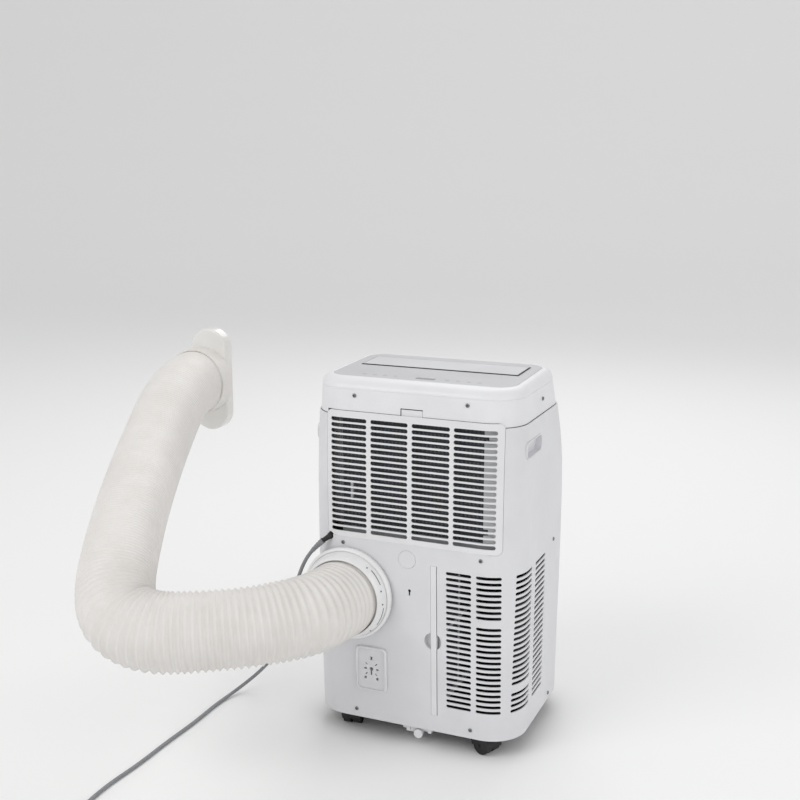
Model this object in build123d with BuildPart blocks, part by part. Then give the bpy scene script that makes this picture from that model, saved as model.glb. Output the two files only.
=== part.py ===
from build123d import *
from math import cos, pi, radians, sin, tan
import os

os.makedirs("parts", exist_ok=True)

# Portable air conditioner on castors, with its exhaust duct and window nozzle.
# Millimetres. The front faces -Y, the rear +Y and up is +Z. The origin is on the
# floor, under the middle of the casing.

# ---- casing ----
body_width = 444.0
body_depth = 350.0
half_width = body_width / 2
rear_y = body_depth / 2
front_y = -rear_y
foot_gap = 38.0
shoulder_z = 671.0
wall = 2.6
rear_corner_r = 75.0
front_corner_r = 60.0
panel_split_y = -118.0
seam = 0.5

# Plan outlines of the casing: height, half width, rear y, front y, rear and front corner radius.
body_levels = [
    (foot_gap, 220.0, 164.5, -165.0, 74.0, 58.0),
    (378.0, half_width, rear_y, front_y, rear_corner_r, front_corner_r),
    (530.0, half_width, rear_y, -172.0, rear_corner_r, front_corner_r),
    (610.0, 220.0, 174.5, -158.0, 74.0, 58.0),
    (shoulder_z, 216.5, 173.0, -139.0, 72.0, 56.0),
]
cover_levels = [
    (shoulder_z + seam, 213.5, 170.5, -136.0, 70.0, 54.0),
    (724.0, 210.5, 168.0, -117.0, 68.0, 53.0),
    (733.0, 207.0, 161.0, -110.5, 65.0, 50.0),
    (739.0, 200.5, 148.0, -102.0, 58.0, 44.0),
    (742.0, 193.5, 133.0, -93.5, 50.0, 38.0),
]

# ---- top: a grey panel that leans 1.5 degrees to the rear ----
top_rear_y = 131.0
top_front_y = -91.0
top_lean = radians(1.5)
panel_thick = 3.0
panel_half = 190.0
flap_half = 168.0
flap_rear_y = 23.0
flap_front_y = -62.0
flap_gap = 1.2
flap_thick = 3.4
hinge_inset = 5.6
hinge_pin_r = 1.8
window_size = (40.0, 14.0)

# ---- upper filter panel ----
filter_half = 182.0
filter_mid_x = -6.0
filter_bottom_z = 425.2
filter_top_z = 680.2
filter_gap = 0.6
filter_wall = 2.4
rolled_edge_r = 0.5
rolled_edge_half = 158.0
gland_notch_r = 9.4
notch_x = -3.7
notch_size = (46.0, 13.4)
slot_rows_upper = 20
slot_pitch_upper = 11.7
slot_top_z = 662.7
slot_height_upper = 8.2
upper_columns = [(127.5, 77.0), (41.8, 78.0), (-44.2, 78.0), (-133.2, 85.0)]

# ---- lower and side grilles ----
slot_rows_lower = 25
slot_pitch_lower = 11.65
slot_top_lower = 378.4
slot_height_lower = 6.6
rear_columns = [(-103.7, 52.0), (-163.2, 48.0)]
corner_turn = 11.7
corner_slot = (3.2, 63.0)
side_column_y = (-10.5, 57.0)

# ---- slide-out lower filter ----
strip_x = -51.9
strip_width = 11.4
strip_bottom_z = 74.0
strip_top_z = 389.0
scoop_x = -50.0
scoop_z = 231.5
scoop_radius = 18.0
scoop_floor_y = 157.0
filter_front_y = -96.0
lower_filter_travel = 250.0

# ---- side grips: middle in y and z ----
grip_at = (75.0, 621.0)

# ---- exhaust ----
duct_x = 128.0
duct_z = 310.0
socket_r = 86.0
socket_wall = 3.0
coupling_r = 95.0
mouth_r = 79.0
spigot_r = 82.6
coupling_base_y = rear_y + 3.0
coupling_step = 9.0
mouth_y = rear_y + 40.0
hose_r = 75.0
hose_wall = 1.6
hose_route = [
    (duct_x, 190.0, duct_z),
    (duct_x, 286.0, duct_z),
    (200.0, 372.0, 304.0),
    (300.0, 440.0, 300.0),
    (405.0, 488.0, 298.0),
    (488.0, 472.0, 330.0),
    (568.0, 293.0, 439.0),
    (647.0, 82.0, 532.0),
    (698.0, -108.0, 630.0),
    (698.0, -186.0, 630.0),
]
collar_y = -172.0
nozzle_front_y = -212.0
nozzle_depth = 30.0
nozzle_width = 96.0
nozzle_height = 248.0
nozzle_wall = 2.4

# ---- mains cord ----
cord_d = 7.5
cord_z = cord_d / 2
gland_at = (169.0, 171.5, 421.5)
cord_route = [
    (181.0, 182.5, 413.5),
    (201.0, 184.0, 395.0),
    (224.0, 180.0, 365.0),
    (245.0, 171.0, 323.0),
    (262.0, 154.0, 281.0),
    (284.0, 127.0, 230.0),
    (310.0, 98.0, 172.0),
    (342.0, 74.0, 118.0),
    (376.0, 62.0, 72.0),
    (406.0, 66.0, 38.0),
    (430.0, 90.0, 16.0),
    (444.0, 130.0, 5.0),
    (449.0, 176.0, cord_z),
    (447.0, 262.0, cord_z),
    (452.5, 358.0, cord_z),
    (453.0, 452.0, cord_z),
    (462.0, 545.0, cord_z),
    (457.0, 628.0, cord_z),
    (434.0, 676.0, cord_z),
]
coil_middle = (470.0, 704.0)
coil_outer_r = 50.0
coil_inner_r = 31.0
coil_height = 2 * cord_d + 1.0
plug_r = 18.0
plug_length = 34.0
plug_at = (528.0, 745.0)

# ---- castors ----
castor_x = 144.0
castor_y = 130.0
wheel_r = 20.0
wheel_width = 15.0
wheel_gap = 6.0
castor_trail = 9.0
axle_r = 3.0
stem_r = 5.5
running_clearance = 0.06
castor_turn = {"rear_left": 8.0, "rear_right": -115.0, "front_left": -24.0, "front_right": 15.0}

# ---- inside ----
pan_floor_z = 44.0
pan_thick = 3.0
deck_z = 402.0
lower_fan_at = (-20.0, 232.0)
upper_fan_z = 545.0
upper_fan_r = 95.0
lower_fan_r = 98.0
shaft_r = 4.0


def save(piece, label):
    """Name a finished piece and write it to a STEP file of its own."""
    piece.label = label
    export_step(piece, f"parts/{label}.step")


def casing_solid(levels, inset, below=0.0, above=0.0):
    """Solid through the plan outlines, pulled in by inset and made longer at both ends."""
    with BuildPart() as solid:
        for index, (z, half, rear, front, rear_r, front_r) in enumerate(levels):
            if index == 0:
                z = z - below
            if index == len(levels) - 1:
                z = z + above
            with BuildSketch(Plane.XY.offset(z)):
                with Locations((0, (rear + front) / 2)):
                    Rectangle(2 * (half - inset), rear - front - 2 * inset)
                fillet(vertices().group_by(Axis.Y)[-1], rear_r - inset)
                fillet(vertices().group_by(Axis.Y)[0], front_r - inset)
        loft(ruled=True)
    return solid.part


def top_z(y):
    """Height of the grey top panel's surface at this y."""
    return 742.0 + (top_rear_y - y) * tan(top_lean)


def route_radii(points):
    """Largest tidy corner radius at each inner point: 0.45 of the shorter run over tan(half turn)."""
    radii = []
    for before, here, after in zip(points, points[1:], points[2:]):
        run_in = Vector(here) - Vector(before)
        run_out = Vector(after) - Vector(here)
        half_turn = radians(run_in.get_angle(run_out)) / 2
        radii.append(0.45 * min(run_in.length, run_out.length) / tan(half_turn))
    return radii


hose_radii = route_radii(hose_route)
cord_radii = route_radii(cord_route)

body_outer = casing_solid(body_levels, 0)
body_inner = casing_solid(body_levels, wall, below=1, above=1)
filter_outer = casing_solid(body_levels, 0, above=12)
filter_inner = casing_solid(body_levels, filter_wall, below=1, above=13)
cover_outer = casing_solid(cover_levels, 0)
cover_inner = casing_solid(cover_levels, wall, below=1)

top_plane = Plane(
    origin=(0, top_rear_y, top_z(top_rear_y)),
    x_dir=(1, 0, 0),
    z_dir=(0, sin(top_lean), cos(top_lean)),
)
rear_plane = Plane(origin=(0, rear_y, 0), x_dir=(1, 0, 0), z_dir=(0, -1, 0))
panel_middle = (top_front_y - top_rear_y) / 2
panel_span = top_rear_y - top_front_y
flap_middle = (flap_rear_y + flap_front_y) / 2 - top_rear_y
flap_span = flap_rear_y - flap_front_y
hinge_y = flap_rear_y - hinge_inset
hinge_z = top_z(hinge_y) - hinge_inset

# ---- screws: places shared by the holes and by the screws themselves ----
screw_head_r = 4.0
screw_hole_r = 1.9
rear_screws = [
    (-116.0, 169.0, 711.0), (116.0, 169.0, 711.0),
    (-148.4, rear_y, 413.0), (140.5, rear_y, 413.0),
    (-128.4, 165.2, 56.0), (118.0, 165.2, 55.0),
]
side_screws = [(sx * 212.3, 3.0, 700.0) for sx in (-1, 1)]
side_screws += [(sx * half_width, -67.0, 392.0) for sx in (-1, 1)]
side_screws += [(sx * 220.2, -63.0, 52.0) for sx in (-1, 1)]

# =====================================================================
# Casing
# =====================================================================

# Rear housing: both sides and the rear in one moulding, open for the filter panel.
with BuildPart() as rear_housing:
    add(body_outer)
    add(body_inner, mode=Mode.SUBTRACT)
    with Locations((0, panel_split_y + 200 + seam / 2, 380)):
        Box(500, 400, 760, mode=Mode.INTERSECT)
    # opening of the upper filter panel, with rounded lower corners
    with BuildSketch(Plane.XZ.offset(-100)):
        with Locations((filter_mid_x, (filter_bottom_z + shoulder_z + 40) / 2)):
            RectangleRounded(2 * filter_half, shoulder_z + 40 - filter_bottom_z, 12)
    extrude(amount=-100, mode=Mode.SUBTRACT)
    # slot for the lower filter's strip, with a wider gap on one side
    with Locations((strip_x - 0.6, rear_y - 10, (strip_bottom_z + strip_top_z) / 2)):
        Box(strip_width + 2.2, 60, strip_top_z - strip_bottom_z + 1.0, mode=Mode.SUBTRACT)
    # exhaust opening
    with BuildSketch(Plane.XZ.offset(-60)):
        with Locations((duct_x, duct_z)):
            Circle(socket_r + 0.4)
    extrude(amount=-130, mode=Mode.SUBTRACT)
    # drain outlet, keyhole, plug holder, cord gland and screws
    with BuildSketch(Plane.XZ.offset(-150)):
        with Locations((3, 395)):
            Circle(18.3)
        with Locations((-1.5, 331)):
            Circle(3.0)
        with Locations((-1.5, 326)):
            Rectangle(3.2, 10)
        with Locations((82.5, 150)):
            RectangleRounded(54.6, 83.6, 5)
        with Locations((gland_at[0] + 1, gland_at[2])):
            Circle(7.1)
        with Locations(*[(x, z) for x, y, z in rear_screws[2:]]):
            Circle(screw_hole_r)
    extrude(amount=-60, mode=Mode.SUBTRACT)
    for side in (-1, 1):
        with BuildSketch(Plane.YZ.offset(side * (half_width - 20))):
            with Locations(grip_at):
                RectangleRounded(96.4, 34.4, 12)
            with Locations(*[(y, z) for x, y, z in side_screws[2:] if x * side > 0]):
                Circle(screw_hole_r)
        extrude(amount=side * 30, mode=Mode.SUBTRACT)
    # lower rear grille
    with BuildSketch(Plane.XZ.offset(-110)):
        for column_x, length in rear_columns:
            for row in range(slot_rows_lower):
                with Locations((column_x, slot_top_lower - row * slot_pitch_lower)):
                    SlotOverall(length, slot_height_lower)
    extrude(amount=-90, mode=Mode.SUBTRACT)
    # corner grille: slots that follow the rounded corner, cut square to its middle
    corner_mid = radians(corner_turn)
    corner_out = (-cos(corner_mid), sin(corner_mid), 0)
    corner_plane = Plane(
        origin=(-(half_width - rear_corner_r), rear_y - rear_corner_r, 0),
        x_dir=(-sin(corner_mid), -cos(corner_mid), 0),
        z_dir=corner_out,
    )
    with BuildSketch(corner_plane.offset(40)):
        for row in range(slot_rows_lower):
            with Locations((corner_slot[0], slot_top_lower - row * slot_pitch_lower)):
                SlotOverall(corner_slot[1], slot_height_lower)
    extrude(amount=45, mode=Mode.SUBTRACT)
    # side grille
    with BuildSketch(Plane.YZ.offset(-half_width - 10)):
        for row in range(slot_rows_lower):
            with Locations((sum(side_column_y) / 2, slot_top_lower - row * slot_pitch_lower)):
                SlotOverall(side_column_y[1] - side_column_y[0], slot_height_lower)
    extrude(amount=40, mode=Mode.SUBTRACT)
    # finger scoop: a round cup behind the rear face, crossed by the filter strip
    with BuildSketch(Plane.XZ.offset(-(rear_y - 30))):
        with Locations((scoop_x, scoop_z)):
            Circle(scoop_radius)
    extrude(amount=-60, mode=Mode.SUBTRACT)
    with BuildSketch(Plane.XZ.offset(-scoop_floor_y)):
        with Locations((scoop_x, scoop_z)):
            Circle(scoop_radius + 1.6)
        with Locations((strip_x - 0.6, scoop_z)):
            Rectangle(strip_width + 2.2, 60, mode=Mode.SUBTRACT)
    extrude(amount=-1.6)
    with BuildSketch(Plane.XZ.offset(-scoop_floor_y)):
        with Locations((scoop_x, scoop_z)):
            Circle(scoop_radius + 1.6)
            Circle(scoop_radius, mode=Mode.SUBTRACT)
        with Locations((strip_x - 0.6, scoop_z)):
            Rectangle(strip_width + 2.2, 60, mode=Mode.SUBTRACT)
    extrude(amount=-12.6)
save(rear_housing.part, "rear_housing")

# Front panel: wraps round both front corners.
with BuildPart() as front_panel:
    add(body_outer)
    add(body_inner, mode=Mode.SUBTRACT)
    with Locations((0, panel_split_y - 200 - seam / 2, 380)):
        Box(500, 400, 760, mode=Mode.INTERSECT)
save(front_panel.part, "front_panel")

# Top cover: a tapering ring with a rounded shoulder, open for the grey panel.
with BuildPart() as top_cover:
    add(cover_outer)
    add(cover_inner, mode=Mode.SUBTRACT)
    with BuildSketch(top_plane.offset(-40)):
        with Locations((0, panel_middle)):
            RectangleRounded(2 * panel_half + 0.8, panel_span + 0.8, 34)
    extrude(amount=60, mode=Mode.SUBTRACT)
    # cut-out for the top of the filter panel, and the finger notch over it
    cut_top_z = filter_top_z + filter_gap
    with Locations((filter_mid_x, 175, cut_top_z - 15)):
        Box(2 * filter_half, 20, 30, mode=Mode.SUBTRACT)
    with Locations((notch_x, 168, cut_top_z + notch_size[1] / 2 - 1)):
        Box(notch_size[0], 14, notch_size[1] + 2, mode=Mode.SUBTRACT)
    with BuildSketch(Plane.XZ.offset(-150)):
        with Locations(*[(x, z) for x, y, z in rear_screws[:2]]):
            Circle(screw_hole_r)
    extrude(amount=-60, mode=Mode.SUBTRACT)
    with BuildSketch(Plane.YZ.offset(-300)):
        with Locations(side_screws[0][1:]):
            Circle(screw_hole_r)
    extrude(amount=600, mode=Mode.SUBTRACT)
save(top_cover.part, "top_cover")

# Grey control panel with the flap's opening and a window for the display.
with BuildPart() as control_panel:
    with BuildSketch(top_plane):
        with Locations((0, panel_middle)):
            RectangleRounded(2 * panel_half, panel_span, 33.6)
        with Locations((0, flap_middle)):
            RectangleRounded(2 * (flap_half + flap_gap), flap_span + 2 * flap_gap, 3, mode=Mode.SUBTRACT)
        with Locations((-8, -22)):
            RectangleRounded(window_size[0], window_size[1], 3, mode=Mode.SUBTRACT)
    extrude(amount=-panel_thick)
save(control_panel.part, "control_panel")

with BuildPart() as display_window:
    with BuildSketch(top_plane.offset(-0.1)):
        with Locations((-8, -22)):
            RectangleRounded(window_size[0] - 0.2, window_size[1] - 0.2, 2.9)
    extrude(amount=-2.4)
save(display_window.part, "display_window")

with BuildPart() as control_board:
    with BuildSketch(top_plane.offset(-6)):
        with Locations((0, -30)):
            Rectangle(220, 42)
    extrude(amount=-1.6)
    with BuildSketch(top_plane.offset(-6)):
        with Locations((-8, -22)):
            Rectangle(34, 10)
    extrude(amount=3.2)
    with BuildSketch(top_plane.offset(-7.6)):
        with GridLocations(40, 20, 5, 2):
            with Locations((0, -30)):
                Rectangle(9, 6)
    extrude(amount=-2.5)
save(control_board.part, "control_board")

# Louver flap: a plate with a rolled hinge edge and a hub at each end.
with BuildPart() as louver_flap:
    with BuildSketch(top_plane):
        with Locations((0, flap_middle - hinge_inset / 2)):
            Rectangle(2 * flap_half, flap_span - hinge_inset)
    extrude(amount=-flap_thick)
    with BuildSketch(Plane.YZ.offset(-flap_half)):
        with Locations((hinge_y, hinge_z)):
            Circle(hinge_inset)
    extrude(amount=2 * flap_half)
    with BuildSketch(Plane.YZ.offset(-flap_half - 4.5)):
        with Locations((hinge_y, hinge_z)):
            Circle(hinge_pin_r)
    extrude(amount=5)
    with BuildSketch(Plane.YZ.offset(flap_half - 12)):
        with Locations((hinge_y, hinge_z)):
            Circle(1.5 + running_clearance)
    extrude(amount=20, mode=Mode.SUBTRACT)
save(louver_flap.part, "louver_flap")

# Outlet duct under the flap, with end cheeks that carry the hinge.
duct_front_y = flap_front_y - 2
duct_rear_y = flap_rear_y + 4
vane_pivot_y = (duct_front_y + duct_rear_y) / 2
vane_pivot_z = 708.0
vane_count = 5
vane_places = [(index - (vane_count - 1) / 2) * 62.0 for index in range(vane_count)]
cheek_thick = 2.4
with BuildPart() as outlet_duct:
    with Locations((0, vane_pivot_y, 698)):
        Box(2 * (flap_half + 1.2 + cheek_thick), duct_rear_y - duct_front_y + 4, 70)
        Box(2 * (flap_half + 1.2), duct_rear_y - duct_front_y, 80, mode=Mode.SUBTRACT)
    # the cheeks rise to the hinge line
    for side in (-1, 1):
        with Locations((side * (flap_half + 1.2 + cheek_thick / 2), hinge_y - 4, 731)):
            Box(cheek_thick, 18, 2 * (hinge_z + 2.4 - 731))
    with Locations(Location((0, hinge_y, hinge_z), (0, 90, 0))):
        Cylinder(hinge_pin_r + running_clearance, 500, mode=Mode.SUBTRACT)
    for place in vane_places:
        with Locations(Location((place, vane_pivot_y, vane_pivot_z), (90, 0, 0))):
            Cylinder(2.0 + running_clearance, 200, mode=Mode.SUBTRACT)
save(outlet_duct.part, "outlet_duct")

with BuildPart() as flap_motor:
    with BuildSketch(Plane.YZ.offset(flap_half + 1.2 + cheek_thick + 0.2)):
        with Locations((hinge_y, hinge_z - 7.6)):
            Circle(9.5)
    extrude(amount=14)
    with BuildSketch(Plane.YZ.offset(flap_half - 10)):
        with Locations((hinge_y, hinge_z)):
            Circle(1.5)
    extrude(amount=16)
save(flap_motor.part, "flap_motor")

# Swing vanes: plates that turn about Y, with a peg through the tie bar.
vane_half_y = (duct_rear_y - duct_front_y) / 2 - 1.0
peg_z = vane_pivot_z - 18.0
for index, place in enumerate(vane_places):
    with BuildPart() as vane:
        with Locations((place, vane_pivot_y, vane_pivot_z - 5)):
            Box(1.8, 2 * vane_half_y, 36)
        with Locations((place, vane_pivot_y, peg_z - 2)):
            Box(4, 14, 20, mode=Mode.SUBTRACT)
        with Locations(Location((place, vane_pivot_y, peg_z), (90, 0, 0))):
            Cylinder(1.2, 16)
        with Locations(Location((place, vane_pivot_y, vane_pivot_z), (90, 0, 0))):
            Cylinder(2.0, 2 * vane_half_y + 4.0)
    save(vane.part, f"swing_vane_{index + 1}")

with BuildPart() as tie_bar:
    with Locations((0, vane_pivot_y, peg_z)):
        Box(vane_places[-1] - vane_places[0] + 10, 5, 6)
    for place in vane_places:
        with Locations(Location((place, vane_pivot_y, peg_z), (90, 0, 0))):
            Cylinder(1.2 + running_clearance, 20, mode=Mode.SUBTRACT)
save(tie_bar.part, "tie_bar")

# Upper filter frame: a slice of the casing with 4 columns of slots.
with BuildPart() as upper_filter_frame:
    add(filter_outer)
    add(filter_inner, mode=Mode.SUBTRACT)
    with BuildSketch(Plane.XZ.offset(-100)):
        with Locations((filter_mid_x, (filter_bottom_z + filter_gap + filter_top_z) / 2)):
            Rectangle(2 * (filter_half - filter_gap), filter_top_z - filter_bottom_z - filter_gap)
        fillet(vertices().group_by(Axis.Z)[0], 11)
    extrude(amount=-100, mode=Mode.INTERSECT)
    with BuildSketch(Plane.XZ.offset(-100)):
        for column_x, length in upper_columns:
            for row in range(slot_rows_upper):
                with Locations((column_x, slot_top_z - row * slot_pitch_upper)):
                    SlotOverall(length, slot_height_upper)
        # notch in one lower corner, round the cord gland
        with Locations((gland_at[0] + 1, gland_at[2])):
            Circle(gland_notch_r)
    extrude(amount=-100, mode=Mode.SUBTRACT)
    # rolled lower edge that the panel tips about
    with Locations(Location((filter_mid_x, rear_y, filter_bottom_z + filter_gap), (0, 90, 0))):
        Cylinder(rolled_edge_r, 2 * rolled_edge_half)
save(upper_filter_frame.part, "upper_filter_frame")

mesh_y = 150.0
mesh_mid_z = 549.0
with BuildPart() as upper_filter_mesh:
    with Locations((filter_mid_x, mesh_y, mesh_mid_z)):
        Box(342, 1.2, 234)
    for side in (-1, 1):
        with Locations((filter_mid_x + side * 169, mesh_y + 6, mesh_mid_z)):
            Box(4, 13.2, 234)
save(upper_filter_mesh.part, "upper_filter_mesh")

# Lower filter: an upright frame that slides out to the rear by its strip handle.
strip_mid_z = (strip_bottom_z + strip_top_z) / 2
frame_length = rear_y - 14 - filter_front_y
with BuildPart() as lower_filter_frame:
    with Locations((strip_x, filter_front_y + frame_length / 2, strip_mid_z)):
        Box(6, frame_length, strip_top_z - strip_bottom_z - 8)
        Box(8, frame_length - 24, strip_top_z - strip_bottom_z - 28, mode=Mode.SUBTRACT)
    with Locations((strip_x, filter_front_y + frame_length / 2, strip_mid_z)):
        Box(6, frame_length - 20, 5)
        Box(6, 5, strip_top_z - strip_bottom_z - 20)
    # strip handle: follows the lean of the rear face
    with BuildSketch(Plane.YZ.offset(strip_x - strip_width / 2)):
        with BuildLine():
            lean = (rear_y - 164.5) / (378.0 - foot_gap)
            low_y = rear_y - lean * (378.0 - strip_bottom_z)
            Polyline(
                (rear_y - 16, strip_bottom_z),
                (low_y, strip_bottom_z),
                (rear_y - 0.1, 378.0),
                (rear_y - 0.1, strip_top_z),
                (rear_y - 16, strip_top_z),
                close=True,
            )
        make_face()
    extrude(amount=strip_width)
save(lower_filter_frame.part, "lower_filter_frame")

with BuildPart() as lower_filter_mesh:
    with BuildSketch(Plane.YZ.offset(strip_x - 0.5)):
        with Locations((filter_front_y + frame_length / 2, strip_mid_z)):
            with GridLocations(frame_length / 2 - 9.5, (strip_top_z - strip_bottom_z) / 2 - 11.5, 2, 2):
                Rectangle(frame_length / 2 - 14.5, (strip_top_z - strip_bottom_z) / 2 - 16.5)
    extrude(amount=1)
save(lower_filter_mesh.part, "lower_filter_mesh")

# Side grips: shallow cups pressed into the sides.
for side, name in ((1, "left_grip"), (-1, "right_grip")):
    with BuildPart() as grip:
        with BuildSketch(Plane.YZ.offset(side * (half_width - 17))):
            with Locations(grip_at):
                RectangleRounded(96, 34, 11.8)
        extrude(amount=side * 15)
        with BuildSketch(Plane.YZ.offset(side * (half_width - 15))):
            with Locations(grip_at):
                RectangleRounded(92, 30, 9.8)
        extrude(amount=side * 20, mode=Mode.SUBTRACT)
    save(grip.part, name)

# Plug holder: a raised rim round a sunk face with slots for common plug pins.
holder_y = 168.0
rim_back_y = holder_y + 1.6
with BuildPart() as plug_holder:
    with BuildSketch(Plane.XZ.offset(-(holder_y - 16))):
        with Locations((82.5, 150)):
            RectangleRounded(54, 83, 4.8)
    extrude(amount=-18)
    with BuildSketch(Plane.XZ.offset(-rim_back_y)):
        with Locations((82.5, 150)):
            RectangleRounded(64, 93, 9)
    extrude(amount=-3.4)
    with BuildSketch(Plane.XZ.offset(-(rim_back_y + 1))):
        with Locations((82.5, 150)):
            RectangleRounded(57, 86, 7)
    extrude(amount=-4, mode=Mode.SUBTRACT)
    with BuildSketch(Plane.XZ.offset(-(holder_y - 14))):
        with Locations((82.5, 150)):
            Circle(4.0)
            with Locations((0, -7)):
                Rectangle(3.6, 12)
            with Locations((0, 23)):
                Rectangle(4.6, 8)
            with PolarLocations(13, 2, 0, 360):
                Rectangle(6, 3.4)
            with PolarLocations(15, 4, 45, 360):
                Rectangle(5.6, 2.0)
            with Locations((-13, -20), (13, -20)):
                Circle(3.0)
    extrude(amount=-30, mode=Mode.SUBTRACT)
save(plug_holder.part, "plug_holder")

# Drain: middle cover with its bung, bottom spout and its cap.
with BuildPart() as drain_cover:
    with BuildSketch(Plane.XZ.offset(-(rear_y - 2.4))):
        with Locations((3, 395)):
            Circle(17.9)
    extrude(amount=-3.6)
    chamfer(faces().sort_by(Axis.Y)[-1].edges(), 0.8)
    with BuildSketch(Plane.XZ.offset(-(rear_y - 16))):
        with Locations((3, 395)):
            Circle(7.0)
    extrude(amount=-14)
save(drain_cover.part, "drain_cover")

drain_z = 25.0
with BuildPart() as drain_spout:
    with Locations((-15, 143, 36)):
        Box(60, 28, 5)
    with Locations((-15, 143, 41)):
        Box(24, 24, 6)
    for dx in (-24, 22):
        with Locations((-15 + dx, 148, 31)):
            Box(7, 18, 9)
    with BuildSketch(Plane.XZ.offset(-132)):
        with Locations((-17, drain_z)):
            Circle(7.0)
    extrude(amount=-26)
    with Locations((-17, 142, 31)):
        Box(10, 18, 8)
    with BuildSketch(Plane.XZ.offset(-140)):
        with Locations((-17, drain_z)):
            Circle(4.8)
    extrude(amount=-30, mode=Mode.SUBTRACT)
save(drain_spout.part, "drain_spout")

with BuildPart() as drain_cap:
    with BuildSketch(Plane.XZ.offset(-158.4)):
        with Locations((-17, drain_z)):
            Circle(9.2)
    extrude(amount=-7)
    chamfer(faces().sort_by(Axis.Y)[-1].edges(), 1.0)
    with BuildSketch(Plane.XZ.offset(-142)):
        with Locations((-17, drain_z)):
            Circle(4.7)
    extrude(amount=-17)
save(drain_cap.part, "drain_cap")

# Cord gland in the rear left corner, beside the filter panel, with its tapered strain relief.
with BuildPart() as cord_gland:
    with BuildSketch(Plane.XZ.offset(-150)):
        with Locations((gland_at[0] + 1, gland_at[2])):
            Circle(6.8)
    extrude(amount=-22.5)
    with BuildSketch(Plane.XZ.offset(-148)):
        with Locations((gland_at[0] + 1, gland_at[2])):
            Circle(8.0)
    extrude(amount=-4)
    with BuildSketch(Plane(origin=cord_route[0], z_dir=Vector(cord_route[1]) - Vector(cord_route[0]))):
        Circle(4.6)
    with BuildSketch(Plane(origin=(gland_at[0] + 1, gland_at[1], gland_at[2]), z_dir=(0.5, 1, -0.4))):
        Circle(5.6)
    loft()
save(cord_gland.part, "cord_gland")

# Screws: pan heads with a cross recess, one group of separate solids.
with BuildPart() as screws:
    for x, y, z in rear_screws:
        with Locations(Location((x, y, z), (-90, 0, 0))):
            Cylinder(1.6, 12, align=(Align.CENTER, Align.CENTER, Align.MAX))
            Cylinder(screw_head_r, 2.2, align=(Align.CENTER, Align.CENTER, Align.MIN))
    for x, y, z in side_screws:
        turn = 90 if x > 0 else -90
        with Locations(Location((x, y, z), (0, turn, 0))):
            Cylinder(1.6, 12, align=(Align.CENTER, Align.CENTER, Align.MAX))
            Cylinder(screw_head_r, 2.2, align=(Align.CENTER, Align.CENTER, Align.MIN))
save(screws.part, "screws")

# =====================================================================
# Base and castors
# =====================================================================

socket_height = 16.0
castor_places = {
    "rear_left": (castor_x, castor_y),
    "rear_right": (-castor_x, castor_y),
    "front_left": (castor_x, -castor_y),
    "front_right": (-castor_x, -castor_y),
}
with BuildPart() as base_pan:
    with BuildSketch(Plane.XY.offset(pan_floor_z)):
        Rectangle(426, 312)
        fillet(vertices().group_by(Axis.Y)[-1], 62)
        fillet(vertices().group_by(Axis.Y)[0], 48)
    extrude(amount=22)
    with BuildSketch(Plane.XY.offset(pan_floor_z + pan_thick)):
        Rectangle(420, 306)
        fillet(vertices().group_by(Axis.Y)[-1], 59)
        fillet(vertices().group_by(Axis.Y)[0], 45)
    extrude(amount=30, mode=Mode.SUBTRACT)
    for x, y in castor_places.values():
        with Locations((x, y, pan_floor_z)):
            Cylinder(12, socket_height, align=(Align.CENTER, Align.CENTER, Align.MIN))
    for x, y in castor_places.values():
        with Locations((x, y, pan_floor_z - 5)):
            Cylinder(
                stem_r + running_clearance,
                socket_height + 2,
                align=(Align.CENTER, Align.CENTER, Align.MIN),
                mode=Mode.SUBTRACT,
            )
save(base_pan.part, "base_pan")

# Castor: a hood on a stem, with a twin wheel that trails behind the stem.
hood_r = wheel_r + 2.2
hood_half = wheel_gap / 2 + wheel_width + 1.6
for place, (x, y) in castor_places.items():
    turned = Location((x, y, 0), (0, 0, castor_turn[place]))
    with BuildPart() as hood:
        with BuildSketch(Plane.YZ.offset(-hood_half)):
            with Locations((-castor_trail, wheel_r)):
                Circle(hood_r)
            with Locations((-castor_trail / 2 + 2, wheel_r + 12)):
                Rectangle(2 * hood_r - 8, 20.0)
            with Locations((-castor_trail, wheel_r - 30)):
                Rectangle(80, 52, mode=Mode.SUBTRACT)
        extrude(amount=2 * hood_half)
        with BuildSketch(Plane.YZ.offset(-hood_half + 1.2)):
            with Locations((-castor_trail, wheel_r)):
                Circle(wheel_r + 1.0)
        extrude(amount=wheel_width + 0.8, mode=Mode.SUBTRACT)
        with BuildSketch(Plane.YZ.offset(wheel_gap / 2 - 0.4)):
            with Locations((-castor_trail, wheel_r)):
                Circle(wheel_r + 1.0)
        extrude(amount=wheel_width + 0.8, mode=Mode.SUBTRACT)
        with BuildSketch(Plane.YZ.offset(-wheel_gap / 2 + 0.4)):
            with Locations((-castor_trail, wheel_r)):
                Circle(6.5)
        extrude(amount=wheel_gap - 0.8)
        with BuildSketch(Plane.YZ.offset(-20)):
            with Locations((-castor_trail, wheel_r)):
                Circle(axle_r + running_clearance)
        extrude(amount=40, mode=Mode.SUBTRACT)
        with Locations((0, 0, wheel_r + 21)):
            Cylinder(stem_r, 15, align=(Align.CENTER, Align.CENTER, Align.MIN))
    save(turned * hood.part, f"castor_hood_{place}")
    with BuildPart() as wheels:
        with BuildSketch(Plane.YZ.offset(-hood_half + 1.6)):
            with Locations((-castor_trail, wheel_r)):
                Circle(axle_r)
        extrude(amount=2 * hood_half - 3.2)
        for start in (-wheel_gap / 2 - wheel_width, wheel_gap / 2):
            with BuildSketch(Plane.YZ.offset(start)):
                with Locations((-castor_trail, wheel_r)):
                    Circle(wheel_r)
            extrude(amount=wheel_width)
    save(turned * wheels.part, f"castor_wheels_{place}")

# =====================================================================
# Inside, lower compartment
# =====================================================================

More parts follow.
